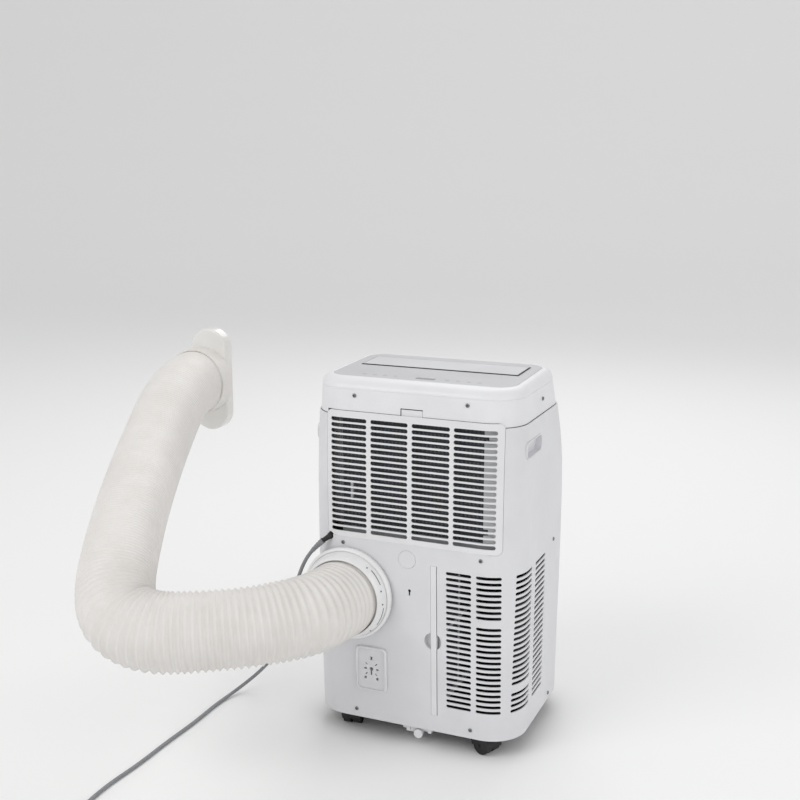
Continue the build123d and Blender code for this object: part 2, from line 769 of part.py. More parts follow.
compressor_at = (-136.0, -44.0)
with BuildPart() as compressor:
    with Locations((*compressor_at, 76)):
        Cylinder(60, 215, align=(Align.CENTER, Align.CENTER, Align.MIN))
    fillet(edges().filter_by(GeomType.CIRCLE), 16)
    with Locations((*compressor_at, 72)):
        Cylinder(66, 5, align=(Align.CENTER, Align.CENTER, Align.MIN))
    with Locations((compressor_at[0], compressor_at[1] - 86, 120)):
        Cylinder(23, 150, align=(Align.CENTER, Align.CENTER, Align.MIN))
    with Locations((compressor_at[0], compressor_at[1] - 62, 150)):
        Box(8, 14, 24)
    with Locations((*compressor_at, 285)):
        Cylinder(14, 16, align=(Align.CENTER, Align.CENTER, Align.MIN))
save(compressor.part, "compressor")

with BuildPart() as rubber_mounts:
    for turn in (30, 150, 270):
        mount_x = compressor_at[0] + 52 * cos(radians(turn))
        mount_y = compressor_at[1] + 52 * sin(radians(turn))
        with Locations((mount_x, mount_y, pan_floor_z + pan_thick)):
            Cylinder(11, 72 - pan_floor_z - pan_thick, align=(Align.CENTER, Align.CENTER, Align.MIN))
save(rubber_mounts.part, "rubber_mounts")

with BuildPart() as condenser_coil:
    with Locations((-27, 16, 230)):
        Box(24, 250, 306)
    with GridLocations(0, 0, 1, 1):
        for row in range(12):
            with Locations(Location((-27, -111, 90 + row * 25), (90, 0, 0))):
                Torus(9, 3.4, major_angle=360)
save(condenser_coil.part, "condenser_coil")

with BuildPart() as discharge_pipe:
    with BuildLine() as discharge_line:
        discharge_points = [
            (compressor_at[0], compressor_at[1], 301),
            (compressor_at[0], compressor_at[1], 352),
            (-90, -80, 368),
            (-40, -125, 368),
            (-27, -125, 340),
        ]
        FilletPolyline(*discharge_points, radius=route_radii(discharge_points))
    with BuildSketch(Plane(origin=discharge_points[0], z_dir=(0, 0, 1))):
        Circle(4)
    sweep(path=discharge_line.line)
save(discharge_pipe.part, "discharge_pipe")

with BuildPart() as suction_pipe:
    with BuildLine() as suction_line:
        suction_points = [
            (compressor_at[0], compressor_at[1] - 86, 270),
            (compressor_at[0], compressor_at[1] - 86, 330),
            (-168, -112, 372),
            (-196, -60, 380),
            (-196, 30, 400),
            (-196, 60, 440),
        ]
        FilletPolyline(*suction_points, radius=route_radii(suction_points))
    with BuildSketch(Plane(origin=suction_points[0], z_dir=(0, 0, 1))):
        Circle(5)
    sweep(path=suction_line.line)
save(suction_pipe.part, "suction_pipe")

# Lower scroll: a volute about X that blows out to the rear through the exhaust socket.
lower_y, lower_z = lower_fan_at
scroll_x0, scroll_x1 = 60.0, 200.0
with BuildPart() as lower_scroll:
    with BuildSketch(Plane.YZ.offset(scroll_x0)):
        with Locations((lower_y, lower_z)):
            Circle(124)
        with Locations(((118 + lower_y) / 2, 310)):
            Rectangle(118 - lower_y, 168)
    extrude(amount=scroll_x1 - scroll_x0)
    with BuildSketch(Plane.YZ.offset(scroll_x0 + 3)):
        with Locations((lower_y, lower_z)):
            Circle(121)
        with Locations(((118 + lower_y) / 2, 310)):
            Rectangle(118 - lower_y + 10, 162)
    extrude(amount=scroll_x1 - scroll_x0 - 6, mode=Mode.SUBTRACT)
    with BuildSketch(Plane.YZ.offset(scroll_x0 - 5)):
        with Locations((lower_y, lower_z)):
            Circle(74)
    extrude(amount=20, mode=Mode.SUBTRACT)
    with BuildSketch(Plane.YZ.offset(scroll_x1 - 10)):
        with Locations((lower_y, lower_z)):
            Circle(38.3)
    extrude(amount=20, mode=Mode.SUBTRACT)
save(lower_scroll.part, "lower_scroll")

with BuildPart() as exhaust_socket:
    with BuildSketch(Plane.XZ.offset(-118.4)):
        with Locations((duct_x, duct_z)):
            RectangleRounded(152, 176, 8)
            Circle(socket_r - socket_wall, mode=Mode.SUBTRACT)
    extrude(amount=-4)
    with BuildSketch(Plane.XZ.offset(-120)):
        with Locations((duct_x, duct_z)):
            Circle(socket_r)
            Circle(socket_r - socket_wall, mode=Mode.SUBTRACT)
    extrude(amount=-(rear_y + 1.5 - 120))
save(exhaust_socket.part, "exhaust_socket")


def blower(origin, normal, radius, width, bore_r):
    """Drum wheel: a hub disc, two rings and forward-curved blades between them."""
    plane = Plane(origin=origin, x_dir=(0, 0, 1), z_dir=normal)
    with BuildPart() as wheel:
        with BuildSketch(plane):
            Circle(radius)
        extrude(amount=2.4)
        with BuildSketch(plane.offset(-10)):
            Circle(bore_r + 6)
        extrude(amount=14)
        with BuildSketch(plane.offset(width - 4)):
            Circle(radius)
            Circle(radius - 16, mode=Mode.SUBTRACT)
        extrude(amount=4)
        with BuildSketch(plane.offset(2)):
            with PolarLocations(radius - 8.5, 36):
                Rectangle(14.5, 1.6, rotation=28)
        extrude(amount=width - 4)
        with BuildSketch(plane.offset(-20)):
            Circle(bore_r)
        extrude(amount=60, mode=Mode.SUBTRACT)
    return wheel.part


lower_blower = blower((76, lower_y, lower_z), (1, 0, 0), lower_fan_r, 92, shaft_r + running_clearance)
save(lower_blower, "lower_blower")


def fan_motor(origin, normal, radius, length, shaft_length):
    """Can motor with a boss and a shaft that points back along the normal."""
    plane = Plane(origin=origin, x_dir=(0, 0, 1), z_dir=normal)
    with BuildPart() as motor:
        with BuildSketch(plane):
            Circle(radius)
        extrude(amount=length)
        fillet(edges().filter_by(GeomType.CIRCLE), 3)
        with BuildSketch(plane.offset(-6)):
            Circle(11)
        extrude(amount=8)
        with BuildSketch(plane.offset(-shaft_length)):
            Circle(shaft_r)
        extrude(amount=shaft_length)
    return motor.part


lower_fan_motor = fan_motor((152, lower_y, lower_z), (1, 0, 0), 38, 56, 84)
save(lower_fan_motor, "lower_fan_motor")

# Slinger wheel: throws condensate from the pan on to the condenser.
slinger_at = (128.0, 74.0)
with BuildPart() as slinger_motor:
    with BuildSketch(Plane.YZ.offset(22)):
        with Locations(slinger_at):
            Circle(16)
    extrude(amount=26)
    with BuildSketch(Plane.YZ.offset(6)):
        with Locations(slinger_at):
            Circle(2.5)
    extrude(amount=18)
    with Locations((35, slinger_at[0], pan_floor_z + pan_thick + 7)):
        Box(20, 24, 14)
save(slinger_motor.part, "slinger_motor")

with BuildPart() as slinger_wheel:
    with BuildSketch(Plane.YZ.offset(8)):
        with Locations(slinger_at):
            Circle(24)
            Circle(2.5 + running_clearance, mode=Mode.SUBTRACT)
    extrude(amount=3)
    with BuildSketch(Plane.YZ.offset(3)):
        with Locations(slinger_at):
            with PolarLocations(17, 8):
                Rectangle(12, 2)
    extrude(amount=6)
save(slinger_wheel.part, "slinger_wheel")

# =====================================================================
# Inside, upper compartment
# =====================================================================

# Partition: the deck under the evaporator, with a drip gutter and a post at each side.
with BuildPart() as partition:
    with Locations((0, -2, deck_z + 2)):
        Box(424, 250, 4)
    with Locations((0, 120, deck_z + 9)):
        Box(380, 44, 18)
    with Locations((0, 120, deck_z + 13)):
        Box(372, 37, 16, mode=Mode.SUBTRACT)
    with Locations(((suction_points[3][0]), 30, deck_z)):
        Box(28, 90, 30, mode=Mode.SUBTRACT)
save(partition.part, "partition")

with BuildPart() as evaporator_coil:
    with Locations((0, 120, 543)):
        Box(340, 34, 236)
    for row in range(9):
        with Locations(Location((171, 120, 441 + row * 25), (0, 90, 0))):
            Torus(9, 3.4)
save(evaporator_coil.part, "evaporator_coil")

with BuildPart() as upper_scroll:
    with BuildSketch(Plane.XZ.offset(-58)):
        with Locations((0, upper_fan_z)):
            Circle(118)
        with Locations((0, 610)):
            Rectangle(236, 104)
    extrude(amount=122)
    with BuildSketch(Plane.XZ.offset(-55)):
        with Locations((0, upper_fan_z)):
            Circle(115)
        with Locations((0, 620)):
            Rectangle(230, 100)
    extrude(amount=116, mode=Mode.SUBTRACT)
    with BuildSketch(Plane.XZ.offset(-65)):
        with Locations((0, upper_fan_z)):
            Circle(72)
    extrude(amount=20, mode=Mode.SUBTRACT)
    with BuildSketch(Plane.XZ.offset(55)):
        with Locations((0, upper_fan_z)):
            Circle(38.3)
    extrude(amount=20, mode=Mode.SUBTRACT)
save(upper_scroll.part, "upper_scroll")

upper_blower = blower((0, 48, upper_fan_z), (0, -1, 0), upper_fan_r, 88, shaft_r + running_clearance)
save(upper_blower, "upper_blower")
upper_fan_motor = fan_motor((0, -24, upper_fan_z), (0, -1, 0), 38, 56, 80)
save(upper_fan_motor, "upper_fan_motor")

with BuildPart() as control_box:
    with Locations((168, -40, 510)):
        Box(56, 110, 130)
        Box(50, 104, 124, mode=Mode.SUBTRACT)
    with Locations((168, -40, 466)):
        Box(50.2, 104.2, 3)
    with Locations((168, -40, 500)):
        Cylinder(20, 60)
save(control_box.part, "control_box")

# =====================================================================
# Exhaust duct and window nozzle
# =====================================================================

# Hose coupling: a domed ring, drawn as a half section and turned about the duct's axis.
with BuildPart() as hose_coupling:
    with BuildSketch(Plane(origin=(duct_x, 0, duct_z), x_dir=(1, 0, 0), z_dir=(0, 0, 1))):
        with BuildLine():
            rim_top = (coupling_r, coupling_base_y + coupling_step)
            lip = (mouth_r, mouth_y)
            inner_lip = (mouth_r - 2.4, mouth_y)
            inner_step = (mouth_r - 2.4, coupling_base_y + 6)
            spigot_step = (spigot_r - 2.6, coupling_base_y + 6)
            spigot_inner = (spigot_r - 2.6, rear_y - 7)
            spigot_outer = (spigot_r, rear_y - 7)
            flange_inner = (spigot_r, coupling_base_y)
            flange_outer = (coupling_r, coupling_base_y)
            ThreePointArc(rim_top, (90.2, 202.5), lip)
            Polyline(
                lip, inner_lip, inner_step, spigot_step, spigot_inner,
                spigot_outer, flange_inner, flange_outer, rim_top,
            )
        make_face()
    revolve(axis=Axis((duct_x, 0, duct_z), (0, 1, 0)))
save(hose_coupling.part, "hose_coupling")

with BuildPart() as exhaust_hose:
    with BuildLine() as hose_line:
        FilletPolyline(*hose_route, radius=hose_radii)
    with BuildSketch(Plane(origin=hose_route[0], z_dir=(0, 1, 0))):
        Circle(hose_r)
        Circle(hose_r - hose_wall, mode=Mode.SUBTRACT)
    sweep(path=hose_line.line)
save(exhaust_hose.part, "exhaust_hose")
hose_length = sum(edge.length for edge in hose_line.line.edges())
hose_section = pi * (hose_r**2 - (hose_r - hose_wall) ** 2)
print("hose length", round(hose_length), "radii", [round(r) for r in hose_radii])
print("hose volume ratio", round(exhaust_hose.part.volume / (hose_section * hose_length), 4))

end_x, end_y, end_z = hose_route[-1]
with BuildPart() as window_collar:
    with BuildSketch(Plane.XZ.offset(-collar_y)):
        with Locations((end_x, end_z)):
            Circle(mouth_r)
            Circle(hose_r + 0.4, mode=Mode.SUBTRACT)
    extrude(amount=collar_y - nozzle_front_y)
    with BuildSketch(Plane.XZ.offset(-nozzle_front_y - 4)):
        with Locations((end_x, end_z)):
            Circle(mouth_r)
            RectangleRounded(nozzle_width - 16, 120, 30, mode=Mode.SUBTRACT)
    extrude(amount=4)
save(window_collar.part, "window_collar")

with BuildPart() as window_nozzle:
    with BuildSketch(Plane.XZ.offset(-nozzle_front_y)):
        with Locations((end_x - 14, end_z)):
            SlotOverall(nozzle_height, nozzle_width, rotation=90)
    extrude(amount=nozzle_depth)
    fillet(faces().sort_by(Axis.Y)[-1].edges(), 5)
    with BuildSketch(Plane.XZ.offset(-nozzle_front_y + nozzle_wall)):
        with Locations((end_x - 14, end_z)):
            SlotOverall(nozzle_height - 2 * nozzle_wall, nozzle_width - 2 * nozzle_wall, rotation=90)
    extrude(amount=nozzle_depth, mode=Mode.SUBTRACT)
    with BuildSketch(Plane.XZ.offset(-nozzle_front_y - 10)):
        with Locations((end_x - 8, end_z)):
            RectangleRounded(nozzle_width - 32, 116, 28)
    extrude(amount=20, mode=Mode.SUBTRACT)
save(window_nozzle.part, "window_nozzle")

# =====================================================================
# Mains cord
# =====================================================================

with BuildPart() as power_cord:
    with BuildLine() as cord_line:
        FilletPolyline(*cord_route, radius=cord_radii)
    with BuildSketch(Plane(origin=cord_route[0], z_dir=Vector(cord_route[1]) - Vector(cord_route[0]))):
        Circle(cord_d / 2)
    sweep(path=cord_line.line)
save(power_cord.part, "power_cord")
cord_length = sum(edge.length for edge in cord_line.line.edges())
cord_section = pi * cord_d**2 / 4
print("cord length", round(cord_length), "radii", [round(r) for r in cord_radii])
print("cord volume ratio", round(power_cord.part.volume / (cord_section * cord_length), 4))

with BuildPart() as power_cord_coil:
    with Locations((*coil_middle, 0)):
        Cylinder(coil_outer_r, coil_height, align=(Align.CENTER, Align.CENTER, Align.MIN))
        Cylinder(coil_inner_r, coil_height, align=(Align.CENTER, Align.CENTER, Align.MIN), mode=Mode.SUBTRACT)
save(power_cord_coil.part, "power_cord_coil")

with BuildPart() as power_plug:
    with BuildSketch(Plane.YZ.offset(plug_at[0])):
        with Locations((plug_at[1], plug_r)):
            Circle(plug_r)
    extrude(amount=plug_length)
    with BuildSketch(Plane.YZ.offset(plug_at[0] + plug_length)):
        with Locations((plug_at[1] - 9.5, plug_r), (plug_at[1] + 9.5, plug_r)):
            Circle(2.4)
    extrude(amount=19)
save(power_plug.part, "power_plug")
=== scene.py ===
# %% [markdown]
# # A portable air conditioner, dressed over its CAD frame
# The frame holds every part that moves or fits, at its real size, in metres. This lesson adds what
# the eye needs: smooth shells, a ribbed duct, a mains cord, small fasteners and a finish for every
# part. The rear faces +Y, up is +Z and the floor is at zero.

# %% Load the frame
from math import cos, pi, radians, sin, tan

import bmesh
import bpy
from mathutils import Matrix, Vector, noise


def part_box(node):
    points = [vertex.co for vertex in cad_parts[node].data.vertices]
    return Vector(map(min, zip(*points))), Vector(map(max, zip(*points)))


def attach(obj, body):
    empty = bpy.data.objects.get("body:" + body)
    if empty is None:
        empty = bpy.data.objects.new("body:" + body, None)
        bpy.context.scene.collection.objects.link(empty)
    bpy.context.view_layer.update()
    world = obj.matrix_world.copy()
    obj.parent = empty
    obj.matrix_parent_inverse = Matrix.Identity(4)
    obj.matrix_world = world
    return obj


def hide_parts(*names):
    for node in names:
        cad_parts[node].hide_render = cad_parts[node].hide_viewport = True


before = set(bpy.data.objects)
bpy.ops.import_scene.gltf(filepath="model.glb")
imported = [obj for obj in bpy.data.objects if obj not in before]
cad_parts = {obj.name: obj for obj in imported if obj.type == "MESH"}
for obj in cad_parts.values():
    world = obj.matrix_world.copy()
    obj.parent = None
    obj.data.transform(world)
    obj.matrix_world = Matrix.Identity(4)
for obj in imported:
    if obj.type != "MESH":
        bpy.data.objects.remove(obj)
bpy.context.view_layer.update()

scene = bpy.context.scene
MM = 0.001
UNIT = "air_conditioner"

# %% [markdown]
# ## The camera
# It stands behind and to one side of the unit, a little above it, and looks slightly down. Its
# place and its three directions are given as vectors, so the matrix is built from them directly.

# %% Camera
eye = Vector((-845.1, 2205.0, 1184.3)) * MM
look = Vector((0.38250, -0.89989, -0.20950))
right = look.cross(Vector((0.0, 0.0, 1.0))).normalized()
upward = right.cross(look).normalized()
camera_data = bpy.data.cameras.new("studio_camera")
camera_data.lens = 53.55
camera_data.sensor_width = 36.0
camera = bpy.data.objects.new("studio_camera", camera_data)
scene.collection.objects.link(camera)
camera.matrix_world = Matrix.Translation(eye) @ Matrix((right, upward, -look)).transposed().to_4x4()
scene.camera = camera
print("camera stands", round(eye.length, 2), "m from the origin")

# %% [markdown]
# ## Helpers for meshes
# A finished piece is one object at the origin whose place is in its mesh. `finish_piece` turns a
# bmesh into such an object, points its faces outwards, shades it smooth and fixes it to a body.

# %% A piece from a bmesh
def finish_piece(name, bm, body=UNIT, smooth=True, sharp_angle=35.0, outward=True):
    """Turn a bmesh into an object that rides on a body."""
    if outward:
        bmesh.ops.recalc_face_normals(bm, faces=bm.faces[:])
    for face in bm.faces:
        face.smooth = smooth
    for edge in bm.edges:
        if len(edge.link_faces) == 2 and edge.calc_face_angle(0.0) > radians(sharp_angle):
            edge.smooth = False
    mesh = bpy.data.meshes.new(name)
    bm.to_mesh(mesh)
    bm.free()
    piece = bpy.data.objects.new(name, mesh)
    scene.collection.objects.link(piece)
    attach(piece, body)
    return piece


def add_solidify(piece, thickness, even=True):
    """Give an outward-facing skin a wall on its inner side."""
    wall = piece.modifiers.new("wall", "SOLIDIFY")
    wall.thickness = thickness
    wall.offset = -1.0
    wall.use_even_offset = even
    return wall


def keep_modifiers(piece):
    """Write what the modifiers make into the mesh itself."""
    depsgraph = bpy.context.evaluated_depsgraph_get()
    mesh = bpy.data.meshes.new_from_object(piece.evaluated_get(depsgraph))
    piece.modifiers.clear()
    piece.data = mesh

# %% [markdown]
# ## Lines that things follow
# A cord or a duct follows one smooth NURBS spline of order 3. Its order and its end setting are
# given after its points, because before them they are lost. The line is read back as points from a
# curve with no bevel, and a frame that never twists is carried along it from point to point.

# %% Splines and frames
def smooth_curve(name, points):
    """One open NURBS spline through control points in metres."""
    curve = bpy.data.curves.new(name, "CURVE")
    curve.dimensions = "3D"
    curve.resolution_u = 10
    spline = curve.splines.new("NURBS")
    spline.points.add(len(points) - 1)
    for knot, point in zip(spline.points, points):
        knot.co = (*point, 1.0)
    spline.order_u = 3
    spline.use_endpoint_u = True
    holder = bpy.data.objects.new(name, curve)
    scene.collection.objects.link(holder)
    return holder


def read_line(holder):
    """The points of a curve's own line."""
    bpy.context.view_layer.update()
    depsgraph = bpy.context.evaluated_depsgraph_get()
    mesh = bpy.data.meshes.new_from_object(holder.evaluated_get(depsgraph))
    points = [vertex.co.copy() for vertex in mesh.vertices]
    bpy.data.meshes.remove(mesh)
    return points


def frames_along(points):
    """Distance and untwisted axes at each point of a line."""
    stops = []
    travelled = 0.0
    side = None
    for index, point in enumerate(points):
        ahead = points[min(index + 1, len(points) - 1)] - points[max(index - 1, 0)]
        ahead.normalize()
        if side is None:
            side = ahead.orthogonal()
        side = (side - ahead * side.dot(ahead)).normalized()
        if index:
            travelled += (point - points[index - 1]).length
        stops.append((travelled, point, side.copy(), ahead.cross(side)))
    return stops


def frame_at(stops, distance):
    """Centre and two cross directions at a distance along a line."""
    for before, after in zip(stops, stops[1:]):
        if after[0] >= distance:
            break
    share = (distance - before[0]) / max(after[0] - before[0], 1e-9)
    centre = before[1].lerp(after[1], share)
    return centre, before[2].lerp(after[2], share), before[3].lerp(after[3], share)


def wrap_tube(bm, stops, rings, around):
    """Roll a grid into a tube along a line; rings is a list of distance and radius."""
    grid = bmesh.ops.create_grid(bm, x_segments=around, y_segments=len(rings) - 1, size=0.5)
    places = [frame_at(stops, distance) for distance, radius in rings]
    for vertex in grid["verts"]:
        row = round((vertex.co.y + 0.5) * (len(rings) - 1))
        turn = 2 * pi * (vertex.co.x + 0.5)
        centre, side, other = places[row]
        vertex.co = centre + (side * cos(turn) + other * sin(turn)) * rings[row][1]
    bmesh.ops.remove_doubles(bm, verts=grid["verts"], dist=0.00001)

# %% [markdown]
# ## The mains cord
# A PVC mains lead about 1.8 m long leaves a gland beside the filter panel, drops behind the duct and
# lies on the floor. The rest of it is wound into a coil of two turns, with the plug beside it.
# The coil's turns are worked out by a loop and are more points of the cord's own spline. The curve
# gets its round section last and is then written as a mesh tube, whose box is the cord's real size.

# %% Cord route and coil
cord_d = 7.5 * MM
floor_z = cord_d / 2
cord_route = [
    (0.181, 0.1825, 0.4135),
    (0.201, 0.184, 0.395),
    (0.224, 0.180, 0.365),
    (0.245, 0.171, 0.323),
    (0.262, 0.154, 0.281),
    (0.284, 0.127, 0.230),
    (0.310, 0.098, 0.172),
    (0.342, 0.074, 0.118),
    (0.376, 0.062, 0.072),
    (0.406, 0.066, 0.038),
    (0.430, 0.090, 0.016),
    (0.444, 0.130, 0.005),
    (0.449, 0.176, floor_z),
    (0.447, 0.262, floor_z),
    (0.4525, 0.358, floor_z),
    (0.453, 0.452, floor_z),
    (0.462, 0.545, floor_z),
    (0.457, 0.628, floor_z),
    (0.434, 0.676, floor_z),
]
coil_middle = Vector((0.470, 0.704, 0.0))
coil_outer = 0.0468
coil_pitch = 0.0080
coil_from, coil_to = 202.0, -630.0
flat_turns, climb_turns = 1.9, 0.41
climb_out, climb_gap = 0.0102, 0.0006
turn_step = 22.5
coil_points = []
steps = int((coil_from - coil_to) / turn_step)
for index in range(steps + 1):
    angle = coil_from - (coil_from - coil_to) * index / steps
    turned = (coil_from - angle) / 360.0
    radius = coil_outer - coil_pitch * min(turned, flat_turns)
    height = floor_z
    if turned > flat_turns:
        climb = min((turned - flat_turns) / climb_turns, 1.0)
        radius = coil_outer - coil_pitch * flat_turns + climb * climb_out
        height = floor_z + climb * (cord_d + climb_gap)
    place = (cos(radians(angle)) * radius, sin(radians(angle)) * radius, height)
    coil_points.append(tuple(coil_middle + Vector(place)))
plug_low, plug_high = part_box("power_plug")
plug_x = plug_low.x
plug_y = (plug_low.y + plug_high.y) / 2
plug_z = (plug_low.z + plug_high.z) / 2
plug_run = [(0.490, plug_y, 0.0135), (0.507, plug_y, 0.0172), (plug_x + 0.004, plug_y, plug_z)]
cord_curve = smooth_curve("cord_curve", cord_route + coil_points + plug_run)
cord_line = read_line(cord_curve)
cord_stops = frames_along(cord_line)
cord_curve.data.bevel_depth = cord_d / 2
cord_curve.data.bevel_resolution = 5
cord_curve.data.use_fill_caps = True
bpy.context.view_layer.update()
cord_tube = cord_curve.evaluated_get(bpy.context.evaluated_depsgraph_get())
cord = bpy.data.objects.new("mains_cord", bpy.data.meshes.new_from_object(cord_tube))
scene.collection.objects.link(cord)
bpy.data.objects.remove(cord_curve)
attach(cord, UNIT)
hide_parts("power_cord", "power_cord_coil")

# %% [markdown]
# The strain relief is a soft tapered sleeve with grooves, so that the cord bends gently where it
# leaves the gland. It is a tube rolled along the first 34 mm of the cord's own line.

# %% Strain relief and plug
relief_length = 0.034
groove_count = 5
bm = bmesh.new()
rings = [(0.0, 0.0036)]
for index in range(groove_count * 6 + 1):
    along = index / (groove_count * 6)
    groove = 0.0005 if index % 6 in (4, 5) and along < 0.95 else 0.0
    rings.append((0.0002 + along * relief_length, 0.0062 - 0.0018 * along - groove))
rings.append((relief_length + 0.0004, 0.0037))
wrap_tube(bm, cord_stops, rings, 28)
relief = finish_piece("strain_relief", bm)


def spin_profile(bm, profile, centre, axis, start, steps=64, angle=2 * pi):
    """Turn a profile of radius and distance about an axis; start is the direction it is drawn in."""
    corners = [bm.verts.new(centre + start * radius + axis * along) for radius, along in profile]
    edges = [bm.edges.new(pair) for pair in zip(corners, corners[1:])]
    full = angle > 2 * pi - 0.001
    bmesh.ops.spin(
        bm, geom=corners + edges, cent=centre, axis=axis, angle=angle,
        steps=steps, use_merge=full, use_duplicate=False,
    )
    bmesh.ops.remove_doubles(bm, verts=bm.verts[:], dist=0.000005)


plug_centre = Vector((plug_x, plug_y, plug_z))
plug_profile = [
    (0.0, -0.0195), (0.0042, -0.0195), (0.0047, -0.0190), (0.0052, -0.0120), (0.0046, -0.0115),
    (0.0046, -0.0102), (0.0056, -0.0097), (0.0066, -0.0040), (0.0060, -0.0035), (0.0060, -0.0022),
    (0.0074, -0.0016), (0.0100, 0.0010), (0.0140, 0.0052), (0.0166, 0.0100), (0.0174, 0.0170),
    (0.0178, 0.0240), (0.0179, 0.0300), (0.0174, 0.0330), (0.0164, 0.0340), (0.0, 0.0340),
]
bm = bmesh.new()
spin_profile(bm, plug_profile, plug_centre, Vector((1, 0, 0)), Vector((0, 0, 1)), steps=48)
plug = finish_piece("plug_body", bm)
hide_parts("power_plug")
bm = bmesh.new()
pin_profile = [(0.0024, 0.030), (0.0024, 0.0518), (0.0019, 0.0528), (0.0, 0.0530)]
for offset in (-9.5 * MM, 9.5 * MM):
    pin_centre = plug_centre + Vector((0, offset, 0))
    spin_profile(bm, pin_profile, pin_centre, Vector((1, 0, 0)), Vector((0, 0, 1)), steps=20)
plug_pins = finish_piece("plug_pins", bm)

# %% [markdown]
# ## The exhaust duct
# The real duct is a thin plastic film over a sprung wire, so it has a sharp rib at each turn of the
# wire. Near the unit it is pulled out and its ribs are deep and about 12 mm apart. Past the bend the
# turns are pushed together, and the film lies almost smooth. A grid is rolled along the duct's line
# with a ring at the crest, the flank and the valley of every rib.

# %% Duct line and ribs
duct_route = [
    (0.128, 0.190, 0.310),
    (0.128, 0.286, 0.310),
    (0.200, 0.372, 0.304),
    (0.300, 0.440, 0.300),
    (0.405, 0.488, 0.298),
    (0.488, 0.472, 0.330),
    (0.568, 0.293, 0.439),
    (0.647, 0.082, 0.532),
    (0.698, -0.108, 0.630),
    (0.698, -0.186, 0.630),
]
guide = smooth_curve("duct_guide", duct_route)
guide.data.resolution_u = 24
duct_stops = frames_along(read_line(guide))
bpy.data.objects.remove(guide)
duct_length = duct_stops[-1][0]
crest_r = 76.2 * MM


def ease(low, high, value):
    """0 before low, 1 after high, and a smooth step between."""
    share = min(max((value - low) / (high - low), 0.0), 1.0)
    return share * share * (3 - 2 * share)


rings = [(0.0, crest_r - 0.003)]
place = 0.004
rib = 0
while place < duct_length - 0.004:
    pushed = ease(0.37, 0.50, place / duct_length)
    wander = noise.noise(Vector((rib * 0.37, 3.1, 0.0)))
    pitch = (12.2 - 5.6 * pushed + 2.2 * (1 - pushed) * wander) * MM
    depth = (5.4 - 4.8 * pushed + 1.3 * (1 - pushed) * wander) * MM
    crest = crest_r - 0.0010 * pushed
    rings += [
        (place, crest),
        (place + 0.22 * pitch, crest - 0.55 * depth),
        (place + 0.50 * pitch, crest - depth),
        (place + 0.78 * pitch, crest - 0.55 * depth),
    ]
    place += pitch
    rib += 1
rings = [ring for ring in rings if ring[0] < duct_length - 0.001] + [(duct_length, crest_r - 0.003)]
bm = bmesh.new()
wrap_tube(bm, duct_stops, rings, 64)
for vertex in bm.verts:
    wave = noise.noise(vertex.co * 9.0) + 0.5 * noise.noise(vertex.co * 31.0)
    calm = ease(0.19, 0.26, vertex.co.y) if vertex.co.x < 0.25 else 1.0
    calm *= ease(-0.17, -0.10, vertex.co.y)
    vertex.co.z += 0.0011 * wave * calm
duct = finish_piece("exhaust_duct", bm, sharp_angle=180.0)
add_solidify(duct, 0.7 * MM, even=False)
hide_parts("exhaust_hose")
print("duct has", rib, "ribs on", round(duct_length, 3), "m")

# %% [markdown]
# ## The coupling at the unit
# A moulded ring turns into the unit's exhaust socket. It has a rounded flange, a fine joint line and
# a domed collar that takes the duct. It is a spun profile, as such a part is turned in its mould.

# %% Coupling
coupling_low, coupling_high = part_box("hose_coupling")
duct_axis = Vector((0.128, 0.0, 0.310))
coupling_profile = [
    (0.0810, 0.1690), (0.0825, 0.1690), (0.0825, 0.1780), (0.0938, 0.1780),
    (0.0949, 0.1790), (0.0950, 0.1850),
    (0.0944, 0.1878), (0.0930, 0.1897), (0.0908, 0.1906), (0.0897, 0.1906), (0.0896, 0.1890),
    (0.0886, 0.1890), (0.0885, 0.1912), (0.0880, 0.1960), (0.0868, 0.2015), (0.0850, 0.2068),
    (0.0830, 0.2110), (0.0812, 0.2138), (0.0800, 0.2149), (0.0789, 0.2150), (0.0779, 0.2145),
    (0.0772, 0.2130), (0.0770, 0.2080), (0.0770, 0.1860), (0.0810, 0.1860), (0.0810, 0.1690),
]
bm = bmesh.new()
spin_profile(bm, coupling_profile, duct_axis, Vector((0, 1, 0)), Vector((0, 0, 1)), steps=120)
coupling = finish_piece("coupling_ring", bm, sharp_angle=50.0)
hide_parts("hose_coupling")
print("coupling is", round((coupling_high.x - coupling_low.x) * 1000), "mm across")

# %% [markdown]
# The collar has four pin holes and two latch slits, drawn as painted shade: each hole is a tiny dark
# disc, and each slit is a narrow dark strip spun through a few degrees, both a hair above the dome.

# %% Coupling holes and slits
def dome_point(clock_angle, radius, along):
    """A point round the duct's axis; 0 is up and positive turns towards -X."""
    turn = radians(clock_angle)
    return duct_axis + Vector((-sin(turn) * radius, along, cos(turn) * radius))


bm = bmesh.new()
for clock_angle in (38.0, 74.0, 92.0, 136.0):
    out = (dome_point(clock_angle, 1.0, 0.0) - duct_axis).normalized()
    normal = (out * 0.90 + Vector((0, 0.43, 0))).normalized()
    turn = normal.to_track_quat("Z", "Y").to_matrix().to_4x4()
    spot = Matrix.Translation(dome_point(clock_angle, 0.0861, 0.2048)) @ turn
    bmesh.ops.create_cone(
        bm, cap_ends=True, segments=14, radius1=0.0012, radius2=0.0012, depth=0.0008, matrix=spot,
    )
for first, last in ((44.0, 66.0), (98.0, 124.0)):
    start = (dome_point(first, 1.0, 0.0) - duct_axis).normalized()
    strip = [(0.0873, 0.2006), (0.0868, 0.2018)]
    spin_profile(
        bm, strip, duct_axis, Vector((0, 1, 0)), start, steps=18, angle=radians(first - last),
    )
# Painted shade: dark discs and strips stand for the shade inside the holes and slits.
hole_shade_piece = finish_piece("coupling_hole_shade", bm, outward=False)
add_solidify(hole_shade_piece, 0.4 * MM, even=False).offset = 0.0

